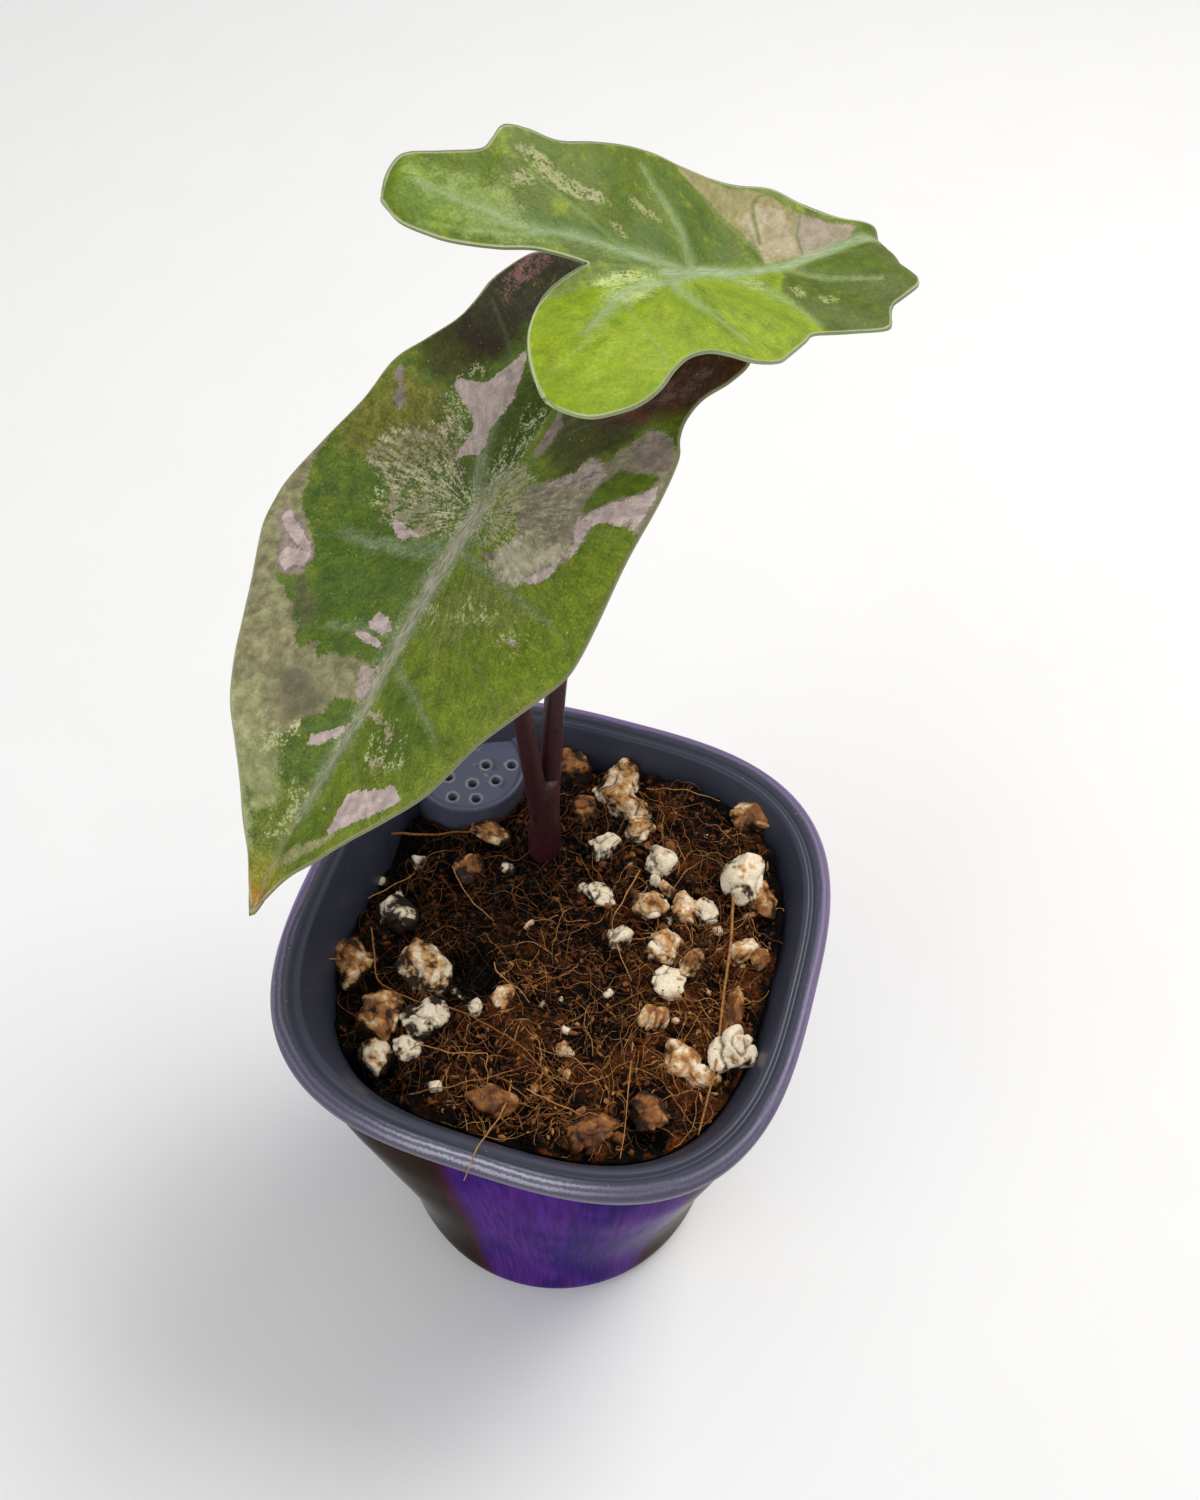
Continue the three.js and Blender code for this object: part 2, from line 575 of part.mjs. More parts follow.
// Centre lines, from the base in the mix up to the last stretch under the blade
const SHEATH = [[-10, 20.8, 104], STEM_BASE, [-10.4, 22, 132], [-10.6, 24.4, 147]]
const LOWER_PETIOLE = [
  STEM_BASE, [-10.4, 21.4, 126], [-12.4, 22.3, 146], [-15.4, 23.8, 169], [-19.6, 25.6, 196],
]
const UPPER_PETIOLE = [
  STEM_BASE, [-10.2, 22.2, 126], [-10.5, 26.4, 146], [-11, 32, 169], [-11, 44, 202], [-9.8, 57.6, 234],
]

// Radii at shares of the length
const SHEATH_TAPER = [[0, 2.4], [0.12, SHEATH_RADIUS + SHEATH_SWELL], [0.55, SHEATH_RADIUS], [1, 2.7]]
const PETIOLE_TAPER = [
  [0, 2.6], [0.35, PETIOLE_RADIUS + 0.15], [0.9, PETIOLE_RADIUS - 0.15], [1, PETIOLE_RADIUS + 0.1],
]

// The stem: a sheath in the soil that parts into the two leaf stalks
function makeStem() {
  const sheath = taperedTube(SHEATH, SHEATH_TAPER, 14, 14)
  const lower = taperedTube([...LOWER_PETIOLE, ...petioleEnd(LOWER_BLADE)], PETIOLE_TAPER, 10, 22)
  const upper = taperedTube([...UPPER_PETIOLE, ...petioleEnd(UPPER_BLADE)], PETIOLE_TAPER, 10, 30)
  return sheath.add(lower).add(upper)
}

// The plain hole in the mix that the stem stands in
function stemHole() {
  const radius = SHEATH_RADIUS + SHEATH_SWELL + STEM_HOLE_CLEARANCE
  const line = [[-10, 20.8, 103.6], [-10.1, 21.1, 116], [-10.4, 22, 132]]
  return taperedTube(line, [[0, radius], [1, radius]], 14, 4)
}

function addPiece(group, name, solid, material) {
  const mesh = new THREE.Mesh(toGeometry(solid), new THREE.MeshStandardMaterial(material))
  mesh.name = name
  group.add(mesh)
}

const plant = new THREE.Group()
addPiece(plant, 'outer_pot', makeOuterPot(), { color: 0x3e246e, roughness: 0.22, metalness: 0.35 })
addPiece(plant, 'inner_pot', makeLiner(), { color: 0x5a5c68, roughness: 0.35, metalness: 0 })
addPiece(plant, 'potting_mix', makeSoil(), { color: 0x3a2413, roughness: 0.95, metalness: 0 })
addPiece(plant, 'stem_and_petioles', makeStem(), { color: 0x3c141e, roughness: 0.5, metalness: 0 })
addPiece(plant, 'lower_leaf', makeBlade(LOWER_BLADE), { color: 0x4b6923, roughness: 0.45, metalness: 0 })
addPiece(plant, 'upper_leaf', makeBlade(UPPER_BLADE), { color: 0x8ca532, roughness: 0.45, metalness: 0 })

export default plant
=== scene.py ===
"""A young variegated alocasia in a self-watering double pot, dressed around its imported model.

Lengths in the recipes are millimetres in the part's own frame, +Z up from the foot of the pot.
They become metres only where a mesh is filled. Each piece is worked out as whole numpy arrays.
"""

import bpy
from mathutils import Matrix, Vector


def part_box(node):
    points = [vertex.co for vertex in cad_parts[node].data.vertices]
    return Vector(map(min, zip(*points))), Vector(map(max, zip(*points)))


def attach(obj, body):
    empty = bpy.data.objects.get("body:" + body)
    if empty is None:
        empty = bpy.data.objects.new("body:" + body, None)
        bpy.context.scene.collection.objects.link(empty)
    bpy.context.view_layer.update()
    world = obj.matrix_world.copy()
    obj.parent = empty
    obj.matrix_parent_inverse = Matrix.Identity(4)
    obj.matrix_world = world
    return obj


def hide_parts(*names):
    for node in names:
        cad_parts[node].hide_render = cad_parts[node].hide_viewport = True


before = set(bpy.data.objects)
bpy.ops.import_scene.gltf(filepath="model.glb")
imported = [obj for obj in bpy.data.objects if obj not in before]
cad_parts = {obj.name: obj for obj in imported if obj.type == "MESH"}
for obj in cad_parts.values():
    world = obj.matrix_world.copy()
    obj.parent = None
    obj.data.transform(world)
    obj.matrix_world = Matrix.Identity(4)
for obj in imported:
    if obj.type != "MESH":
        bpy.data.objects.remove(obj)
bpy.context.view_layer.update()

import math
from itertools import product

import bpy
import numpy as np
from mathutils import Matrix

bl_info = {
    "name": "Potted Variegated Alocasia",
    "version": (1, 0, 0),
    "blender": (4, 5, 0),
    "location": "View3D > Sidebar > Alocasia",
    "description": "Dresses a young variegated alocasia in its double pot",
    "category": "Add Mesh",
}

MM = 0.001
TURN = 2 * math.pi
RIM_HALF = 55.0


def srgb(red, green, blue):
    """A screen colour from 0 to 255 as the linear colour that a shader takes."""
    def linear(value):
        share = value / 255
        return share / 12.92 if share <= 0.04045 else ((share + 0.055) / 1.055) ** 2.4
    return (linear(red), linear(green), linear(blue), 1.0)


def half_width(node):
    """Half the width of a node of the frame along X, in millimetres."""
    low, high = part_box(node)
    return (high.x - low.x) / 2 / MM


# Sizes and colours that a user would change

def colour(name, description, value):
    return bpy.props.FloatVectorProperty(
        name=name, description=description, default=value, subtype="COLOR", size=4, min=0, max=1)


def length(name, description, millimetres):
    return bpy.props.FloatProperty(
        name=name, description=description, default=millimetres * MM, min=0, unit="LENGTH", precision=4)


class PotSettings(bpy.types.PropertyGroup):
    rim: length("Rim half width", "Half the width over the liner's lip, which sizes the whole plant",
                half_width("inner_pot"))
    violet: colour("Violet", "The outer pot's flat sides", srgb(50, 22, 106))
    # Painted reflection: the outer pot's brown bands stand for brown surroundings mirrored in its gloss,
    # painted into its colour.
    bronze: colour("Bronze", "The outer pot's dark bands", srgb(34, 18, 8))
    liner: colour("Liner", "The frosted liner", srgb(62, 65, 80))
    lilac: colour("Lilac", "The liner's bead over the violet rim", srgb(126, 98, 156))
    segments: bpy.props.IntProperty(name="Segments", description="Steps round the pot", default=240, min=24)


class MixSettings(bpy.types.PropertyGroup):
    # The soil colour darkens the mix's hollows and voids, where it is painted shade.
    soil: colour("Soil", "Damp coir in the hollows", srgb(18, 9, 4))
    coir: colour("Coir", "Dry coir on the crests", srgb(110, 58, 20))
    root: colour("Root", "Pale roots and straws", srgb(192, 136, 78))
    crumbs: bpy.props.IntProperty(name="Crumbs", description="Loose crumbs of coir", default=4800, min=0)
    fibres: bpy.props.IntProperty(name="Fibres", description="Coir fibres", default=2800, min=0)
    roots: bpy.props.IntProperty(name="Roots", description="Pale curly roots", default=420, min=0)
    chips: bpy.props.IntProperty(name="Chips", description="Small chips of perlite", default=150, min=0)


class LeafSettings(bpy.types.PropertyGroup):
    thickness: length("Blade thickness", "Thickness of both blades", 0.6)
    stalk: colour("Stalk", "Dark burgundy of the stalks", srgb(62, 24, 32))
    old_left: colour("Old green, left", "The green of the lower leaf's left half", srgb(88, 110, 30))
    old_right: colour("Old green, right", "The green of the lower leaf's right half", srgb(106, 124, 28))
    young_near: colour("Young green, near", "The green of the upper leaf's near half", srgb(134, 156, 16))
    young_far: colour("Young green, far", "The green of the upper leaf's far half", srgb(94, 112, 6))


class StageSettings(bpy.types.PropertyGroup):
    floor: colour("Floor", "The pale floor", srgb(250, 250, 250))
    sky: bpy.props.FloatProperty(name="Sky", description="Strength of the even light", default=0.5, min=0)
    key: bpy.props.FloatProperty(name="Key light", description="Power of the soft main light",
                                 default=8, min=0, unit="POWER")


def drawn_mm():
    """Metres for a millimetre of the recipes, which draw the plant with a rim of RIM_HALF."""
    return bpy.context.scene.alocasia_pot.rim / RIM_HALF


# Arrays

def xyz(x, y, z):
    """Points from their coordinates, each spread to the shape that they share."""
    return np.stack(np.broadcast_arrays(x, y, z), axis=-1)


def unit(vectors, axis=-1):
    """Vectors brought to length 1."""
    return vectors / (np.linalg.norm(vectors, axis=axis, keepdims=True) + 1e-9)


def smooth_step(value, low, high):
    """0 below low, 1 above high, and an S curve between them."""
    share = np.clip((value - low) / (high - low), 0, 1)
    return share * share * (3 - 2 * share)


def lattice_noise(points, size, seed=0, octaves=1):
    """Value noise from -1 to 1: seeded heights on a cubic lattice of that size, blended smoothly between
    its corners. Each further octave is half the size and half the height."""
    total = np.zeros(points.shape[:-1])
    for octave in range(octaves):
        place = points / (size / 2 ** octave)
        cell = np.floor(place).astype(np.int64)
        part = place - cell
        part = part * part * (3 - 2 * part)
        for corner in product((0, 1), repeat=3):
            key = (cell + corner) @ np.array([73856093, 19349663, 83492791]) + (seed + octave) * 9737333
            key = (key ^ (key >> 13)) & 0xFFFFFFF
            key = (key * 1274126177) & 0xFFFFFFFF
            height = ((key ^ (key >> 15)) & 0xFFFF) / 32767.5 - 1
            total += height * np.prod(np.where(corner, part, 1 - part), axis=-1) / 2 ** octave
    return total / (2 - 0.5 ** (octaves - 1))


def spline(points, count):
    """Points at even distances along the uniform Catmull-Rom curve through the given points."""
    points = np.asarray(points, float)
    padded = np.concatenate([[2 * points[0] - points[1]], points, [2 * points[-1] - points[-2]]])
    t = np.linspace(0, 1, 24, endpoint=False)[:, None]
    pieces = []
    for a, b, c, d in zip(padded, padded[1:], padded[2:], padded[3:]):
        pieces.append(0.5 * (2 * b + (c - a) * t + (2 * a - 5 * b + 4 * c - d) * t ** 2
                             + (3 * b - a - 3 * c + d) * t ** 3))
    fine = np.concatenate(pieces + [points[-1:]])
    return resample(fine, count)


def run_along(chain):
    """Distance along a chain of straight stretches at each of its points."""
    return np.concatenate([[0], np.cumsum(np.linalg.norm(np.diff(chain, axis=0), axis=1))])


def resample(points, count):
    """Points at even distances along a chain of short straight stretches."""
    run = run_along(points)
    places = np.linspace(0, run[-1], count)
    return np.stack([np.interp(places, run, points[:, k]) for k in range(points.shape[1])], axis=1)


def rounded_profile(points, share=0.42, steps=5, longest=5.0):
    """A chain of points with each corner rounded: a parabola that starts and ends a share of the shorter
    neighbouring stretch away from the corner. Long stretches are split."""
    points = np.asarray(points, float)
    before, here, after = points[:-2], points[1:-1], points[2:]
    reach = share * np.minimum(np.linalg.norm(here - before, axis=1), np.linalg.norm(after - here, axis=1))
    start = here + (before - here) * (reach / np.linalg.norm(here - before, axis=1))[:, None]
    end = here + (after - here) * (reach / np.linalg.norm(after - here, axis=1))[:, None]
    t = np.linspace(0, 1, steps)[None, :, None]
    arcs = start[:, None] * (1 - t) ** 2 + here[:, None] * 2 * t * (1 - t) + end[:, None] * t ** 2
    chain = np.concatenate([points[:1], arcs.reshape(-1, 2), points[-1:]])
    out = [chain[:1]]
    for a, b in zip(chain, chain[1:]):
        count = max(1, math.ceil(np.linalg.norm(b - a) / longest))
        out.append(a + (b - a) * (np.arange(1, count + 1) / count)[:, None])
    return np.concatenate(out)


def from_stretch(points, a, b):
    """Each point's distance from the straight stretch from a to b, and how far along it is nearest."""
    share = np.clip(((points - a) @ (b - a)) / ((b - a) @ (b - a)), 0, 1)
    return np.linalg.norm(points - a - share[:, None] * (b - a), axis=1), share


def distance_to_lines(points, lines):
    """Distance from each point to the nearest of several chains, less that chain's half width there.
    A chain is (points, half width at its start, half width at its end)."""
    nearest = np.full(len(points), 1e3)
    for chain, first, last in lines:
        chain = np.asarray(chain, float)
        run = run_along(chain)
        for i in range(len(chain) - 1):
            distance, share = from_stretch(points, chain[i], chain[i + 1])
            along = (run[i] + share * (run[i + 1] - run[i])) / run[-1]
            nearest = np.minimum(nearest, distance - (first + (last - first) * along))
    return nearest


def depth_inside(points, outlines):
    """How deep each point lies inside the nearest of several closed outlines, negative outside them."""
    deepest = np.full(len(points), -1e3)
    for outline in outlines:
        outline = np.asarray(outline, float)
        edge = np.full(len(points), 1e3)
        inside = np.zeros(len(points), bool)
        for a, b in zip(outline, np.roll(outline, -1, axis=0)):
            edge = np.minimum(edge, from_stretch(points, a, b)[0])
            crosses = (a[1] > points[:, 1]) != (b[1] > points[:, 1])
            level = a[0] + (points[:, 1] - a[1]) * (b[0] - a[0]) / (b[1] - a[1] if b[1] != a[1] else 1e-9)
            inside ^= crosses & (points[:, 0] < level)
        deepest = np.maximum(deepest, np.where(inside, edge, -edge))
    return deepest


# Meshes

def bundle(rings, low, high):
    """One closed skin for each item of a bundle: rings of points joined by quads, with a pole at each end.
    rings is (item, ring, side, 3), low and high are (item, 3). A ring runs anticlockwise about the way
    from low to high, so that faces point outwards. A skin is (points, quads, triangles)."""
    items, count, sides = rings.shape[:3]
    size = count * sides + 2
    base = (np.arange(items) * size)[:, None, None]
    ring = np.arange(count - 1)[None, :, None] * sides
    side = np.arange(sides)[None, None, :]
    after = (side + 1) % sides
    quads = np.stack([base + ring + side, base + ring + after, base + ring + sides + after,
                      base + ring + sides + side], axis=-1).reshape(-1, 4)
    start = (np.arange(items) * size)[:, None]
    side, after = side[0], after[0]
    last = (count - 1) * sides
    bottom = np.stack([start + count * sides + 0 * side, start + after, start + side], axis=-1)
    top = np.stack([start + count * sides + 1 + 0 * side, start + last + side, start + last + after], axis=-1)
    points = np.concatenate([rings.reshape(items, -1, 3), low[:, None], high[:, None]], axis=1)
    return points.reshape(-1, 3), quads, np.concatenate([bottom.reshape(-1, 3), top.reshape(-1, 3)])


def tubes(centres, radii, sides, up=(0, 0, 1)):
    """Round tubes along many paths at once. centres is (tube, step, 3) and radii is (tube, step): at each
    step a circle stands square to the path, set out from the direction given as up."""
    ahead = unit(np.gradient(centres, axis=1))
    first = unit(np.cross(np.array(up, float), ahead))
    second = np.cross(ahead, first)
    angle = np.arange(sides) * TURN / sides
    round_it = np.cos(angle)[:, None] * first[:, :, None] + np.sin(angle)[:, None] * second[:, :, None]
    rings = centres[:, :, None] + radii[:, :, None, None] * round_it
    return bundle(rings, centres[:, 0], centres[:, -1])


def lumps(centres, sizes, turns, tilts, creases, facets, roughness, rings, sides, seed):
    """Rough lumps, many at once: each is a ball cut by seeded planes into facets, with its radius changed
    by noise that differs from lump to lump and creased where another noise is near 0, then given its
    width, length and height, tilted about X and turned about Z. Gives their skin, and how hollow each
    point is."""
    rng = np.random.default_rng(seed)
    count = len(centres)
    down = (np.arange(rings) + 1) * math.pi / (rings + 1)
    angle = np.arange(sides) * TURN / sides
    across = np.sin(down)[:, None]
    ball = xyz(across * np.cos(angle), across * np.sin(angle), -np.cos(down)[:, None])
    ball = np.concatenate([ball.reshape(-1, 3), [[0, 0, -1], [0, 0, 1]]])
    place = ball[None] + np.arange(count)[:, None, None] * np.array([7.31, 3.77, 5.13])
    swell = lattice_noise(place, 0.9, seed)
    crease = smooth_step(np.abs(lattice_noise(place, 0.8, seed + 4)), 0.16, 0.0)
    radius = 1 + roughness * (swell + 0.6 * lattice_noise(place, 0.35, seed + 9)) - creases * crease
    hollow = crease + 0.6 * smooth_step(-swell, 0.05, 0.6)
    if facets:
        normals = unit(rng.normal(0, 1, (count, 3, facets)), axis=1)
        facing = np.maximum(ball @ normals, 0.05)
        radius *= np.minimum(1.08, (rng.uniform(0.7, 1.0, (count, 1, facets)) / facing).min(axis=-1))
    local = ball * radius[..., None] * sizes[:, None] / 2
    cos, sin = np.cos(tilts)[:, None], np.sin(tilts)[:, None]
    y, z = local[..., 1] * cos - local[..., 2] * sin, local[..., 1] * sin + local[..., 2] * cos
    cos, sin = np.cos(turns)[:, None], np.sin(turns)[:, None]
    placed = xyz(local[..., 0] * cos - y * sin, local[..., 0] * sin + y * cos, z) + centres[:, None]
    body = placed[:, :-2].reshape(count, rings, sides, 3)
    return bundle(body, placed[:, -2], placed[:, -1]), hollow.ravel()


def put(name, data):
    """A new object in the scene, at the origin."""
    thing = bpy.data.objects.new(name, data)
    bpy.context.scene.collection.objects.link(thing)
    return thing


def put_skin(name, skin):
    """A mesh object in metres from a skin in the recipes' millimetres."""
    points, quads, triangles = skin
    mesh = bpy.data.meshes.new(name)
    mesh.from_pydata((points * drawn_mm()).tolist(), [], quads.tolist() + triangles.tolist())
    return put(name, mesh)


def make_piece(name, skin, material, replaced=()):
    """A smooth piece of the plant, which rides on the one body of the part."""
    piece = put_skin(name, skin)
    piece.data.shade_smooth()
    piece.data.materials.append(material)
    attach(piece, "root")
    if replaced:
        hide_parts(*replaced)
    return piece


def give(piece, name, values):
    """Stores a number or a vector for each point of a piece, for its material to read."""
    values = np.asarray(values, np.float32)
    kind, field = ("FLOAT_VECTOR", "vector") if values.ndim == 2 else ("FLOAT", "value")
    attribute = piece.data.attributes.new(name, kind, "POINT")
    attribute.data.foreach_set(field, values.ravel())


def give_each(piece, name, values):
    """Stores one number for each of the like items that a piece is made of."""
    give(piece, name, np.repeat(values, len(piece.data.vertices) // len(values)))


# Materials

class Paint:
    """The nodes of one material, with short words for what its recipe uses."""

    def __init__(self, name):
        self.material = bpy.data.materials.new(name)
        self.material.use_nodes = True
        self.tree = self.material.node_tree
        self.shader = self.tree.nodes["Principled BSDF"]

    def feed(self, socket, value):
        """Links a socket to another, or sets its number, or as much of a colour or vector as it takes."""
        if isinstance(value, bpy.types.NodeSocket):
            self.tree.links.new(value, socket)
        elif hasattr(value, "__len__"):
            socket.default_value = value[:len(socket.default_value)]
        else:
            socket.default_value = value

    def node(self, kind, sockets, **settings):
        """A node with its settings made and its sockets fed, by name or number."""
        node = self.tree.nodes.new(kind)
        for key, value in settings.items():
            setattr(node, key, value)
        for socket, value in sockets.items():
            self.feed(node.inputs[socket], value)
        return node

    def attribute(self, name, output="Fac"):
        return self.node("ShaderNodeAttribute", {}, attribute_name=name).outputs[output]

    def place(self, scale=(1, 1, 1)):
        """Object coordinates in millimetres, stretched by a scale."""
        where = self.node("ShaderNodeTexCoord", {}).outputs["Object"]
        return self.stretch(where, [k / drawn_mm() for k in scale])

    def stretch(self, vector, scale):
        return self.node("ShaderNodeMapping", {"Vector": vector, "Scale": scale}).outputs["Vector"]

    def part(self, vector, axis):
        return self.node("ShaderNodeSeparateXYZ", {0: vector}).outputs[axis]

    def nudged(self, vector, x, y, by):
        """A vector moved by two numbers between 0 and 1, times a distance."""
        move = self.node("ShaderNodeCombineXYZ", {0: self.times(x, by), 1: self.times(y, by)}).outputs[0]
        return self.node("ShaderNodeVectorMath", {0: vector, 1: move}, operation="ADD").outputs[0]

    def nearest(self, vector, places):
        """Distance to the nearest of a few places."""
        shortest = 1e3
        for place in places:
            node = self.node("ShaderNodeVectorMath", {0: vector, 1: place}, operation="DISTANCE")
            shortest = self.math("MINIMUM", shortest, node.outputs["Value"])
        return shortest

    def math(self, operation, *values):
        return self.node("ShaderNodeMath", dict(enumerate(values)), operation=operation).outputs[0]

    def plus(self, a, b):
        return self.math("ADD", a, b)

    def times(self, a, b):
        return self.math("MULTIPLY", a, b)

    def larger(self, a, b):
        return self.math("MAXIMUM", a, b)

    def fit(self, value, scale, start):
        """A number times a scale, plus a start."""
        return self.math("MULTIPLY_ADD", value, scale, start)

    def noise(self, vector, size, detail=2.0, roughness=0.5):
        """Soft noise around 0.5, with features of a size in millimetres."""
        return self.node("ShaderNodeTexNoise", {"Vector": vector, "Scale": 1 / size, "Detail": detail,
                                                "Roughness": roughness}).outputs["Fac"]

    def cells(self, vector, size, feature="F1", output="Distance"):
        """Cells of a size in millimetres: the distance to their middles or edges, or a number for each."""
        node = self.node("ShaderNodeTexVoronoi", {"Vector": vector, "Scale": 1 / size}, feature=feature)
        if output == "Distance":
            return node.outputs["Distance"]
        return self.node("ShaderNodeSeparateColor", {0: node.outputs["Color"]}).outputs[0]

    def ramp(self, value, low, high, to_low=0.0, to_high=1.0):
        """An S curve from one value to another as the input goes from low to high."""
        return self.node("ShaderNodeMapRange", {
            "Value": value, "From Min": low, "From Max": high, "To Min": to_low, "To Max": to_high,
        }, interpolation_type="SMOOTHSTEP").outputs["Result"]

    def mix(self, share, a, b):
        return self.node("ShaderNodeMix", {0: share, 6: a, 7: b}, data_type="RGBA").outputs[2]

    def shaded(self, base, amount):
        """A colour made darker or lighter by a factor around 1."""
        return self.node("ShaderNodeVectorMath", {0: base, "Scale": amount}, operation="SCALE").outputs[0]

    def bump(self, height, depth, **onto):
        """Bump by a height from 0 to 1 that stands for a depth in millimetres."""
        sockets = {"Strength": 1.0, "Distance": depth * drawn_mm(), "Height": height, **onto}
        return self.node("ShaderNodeBump", sockets).outputs["Normal"]

    def finish(self, base, roughness, normal=None, **fixed):
        self.feed(self.shader.inputs["Base Color"], base)
        self.feed(self.shader.inputs["Roughness"], roughness)
        if normal is not None:
            self.feed(self.shader.inputs["Normal"], normal)
        for name, value in fixed.items():
            self.shader.inputs[name.replace("_", " ")].default_value = value
        return self.material


# The two pots: the profiles are [half width, height], round at the foot and square at the rim

POT_HEIGHT = 134.0
POT_WALL = 1.6
POT_RADIUS = 47.0
POT_FLOOR = 2.4
POT_SIDE = [[42.2, 9], [42.8, 26], [43.7, 40], [45.2, 55], [46.9, 70], [48.5, 85], [50.3, 100], [52.6, 130]]
LINER_WALL = 1.3
LINER_BOTTOM = 48.0
LINER_FLOOR = 49.6
LINER_INSIDE = [
    [49.4, 133.1], [47.6, 129.2], [45.7, 123.5], [43.6, 108], [40.0, 76], [37.2, 56], [35.6, 49.6],
]
LINER_LIP = [
    [50.6, 131.7], [53.4, 131.7], [53.4, 129.9], [54.8, 129.9], [RIM_HALF, 131.0], [RIM_HALF, 132.6],
    [54.3, 133.7], [53.3, POT_HEIGHT], [52.3, 133.7], [51.2, 132.9], [50.3, 133.6],
]
INLET_X, INLET_Y, INLET_RADIUS, INLET_BOTTOM, INLET_TOP = -33.0, 35.0, 13.2, 70.0, 128.0
INLET_HOLE = 1.1
INLET_HOLES = [[2.4, -4.6], [7.2, -2.2], [4.6, -8.2], [-0.6, -9.4], [9.2, 3.0], [3.6, 1.2], [-3.4, -4.6]]


def squareness(angle, height):
    """Radius over half width: a superellipse whose exponent goes from 2 at the foot to 3 at the rim."""
    power = 2 + smooth_step(height, 0, POT_HEIGHT)
    return (np.abs(np.cos(angle)) ** power + np.abs(np.sin(angle)) ** power) ** (-1 / power)


def squared_lathe(profile, segments):
    """A profile that starts and ends on the axis, turned about Z and squared off by its height."""
    half, height = profile[1:-1, 0, None], profile[1:-1, 1, None]
    angle = np.arange(segments)[None] * TURN / segments
    radius = half * squareness(angle, height)
    rings = xyz(radius * np.cos(angle), radius * np.sin(angle), height)
    low, high = [[[0, 0, z]] for z in (profile[0, 1], profile[-1, 1])]
    return bundle(rings[None], np.array(low, float), np.array(high, float))


# Painted reflection: bands round the outer pot where brown surroundings are mirrored, painted in as colour.
REFLECTION_BANDS = (-127, -13, 110)
REFLECTION_HALF_ANGLE = 26


def reflection_band_depth(points):
    """How many degrees a point of the outer pot lies inside the nearest band of painted reflection, negative
    outside.
    """
    angle = np.degrees(np.arctan2(points[:, 1], points[:, 0]))[:, None]
    apart = np.abs((angle - np.array(REFLECTION_BANDS) + 180) % 360 - 180)
    return REFLECTION_HALF_ANGLE - apart.min(axis=1)


def outer_pot_material(settings):
    paint = Paint("violet_gloss_plastic")
    wrap = paint.attribute("wrap", "Vector")
    streaks = paint.noise(paint.stretch(wrap, (1, 1, 0.05)), 0.9, detail=5)
    bands = paint.noise(paint.stretch(wrap, (0.1, 0.1, 1)), 1.6, detail=3)
    clouds = paint.noise(paint.stretch(wrap, (1, 1, 0.4)), 14, detail=3)
    drift = paint.fit(clouds, 12, -6)
    # Painted reflection: depth into the bands of mirrored brown surroundings, frayed by streaks and clouds; a
    # dark red fringe, then brown.
    depth = paint.plus(paint.attribute("bronze"), paint.fit(streaks, 4, drift))
    light = paint.times(paint.ramp(streaks, 0.3, 0.7, 0.7, 1.3), paint.ramp(bands, 0.3, 0.7, 0.96, 1.04))
    violet = paint.mix(paint.ramp(clouds, 0.4, 0.6), settings.violet, srgb(76, 34, 122))
    toned = paint.mix(paint.ramp(depth, -4, 1), paint.shaded(violet, light), srgb(62, 14, 34))
    bronze = paint.shaded(settings.bronze, paint.ramp(clouds, 0.3, 0.7, 0.6, 1.4))
    toned = paint.mix(paint.ramp(depth, 0, 3), toned, bronze)
    # Painted shade: the lowest 1.6 mm, where the pot meets the floor, is darkened to near black violet.
    toned = paint.mix(paint.ramp(paint.attribute("height"), 1.6, 0.3), toned, srgb(18, 10, 26))
    rough = paint.fit(clouds, 0.1, 0.08)
    return paint.finish(toned, rough, None, IOR=1.015)


class ALOCASIA_OT_outer_pot(bpy.types.Operator):
    """Makes the glossy violet outer pot, round at the foot and a rounded square at the rim"""
    bl_idname = "alocasia.outer_pot"
    bl_label = "Outer Pot"

    def execute(self, context):
        settings = context.scene.alocasia_pot
        outside = [[0, 0], [36.5, 0], [39.4, 0.9], [41.6, 3.8], *POT_SIDE, [53.1, 130.8], [52.6, 131.4]]
        inside = [[half - POT_WALL, z] for half, z in reversed(POT_SIDE)]
        floor = [[39.0, 4.4], [36.5, POT_FLOOR], [0, POT_FLOOR]]
        profile = rounded_profile([*outside, [51.2, 131.4], *inside, *floor])
        skin = squared_lathe(profile, settings.segments)
        piece = make_piece("outer_pot_shell", skin, outer_pot_material(settings),
                           ["outer_pot"])
        points = skin[0]
        angle = np.arctan2(points[:, 1], points[:, 0])
        give(piece, "wrap", xyz(POT_RADIUS * np.cos(angle), POT_RADIUS * np.sin(angle), points[:, 2]))
        # Where the painted reflection bands lie.
        give(piece, "bronze", reflection_band_depth(points))
        give(piece, "height", points[:, 2])
        return {"FINISHED"}


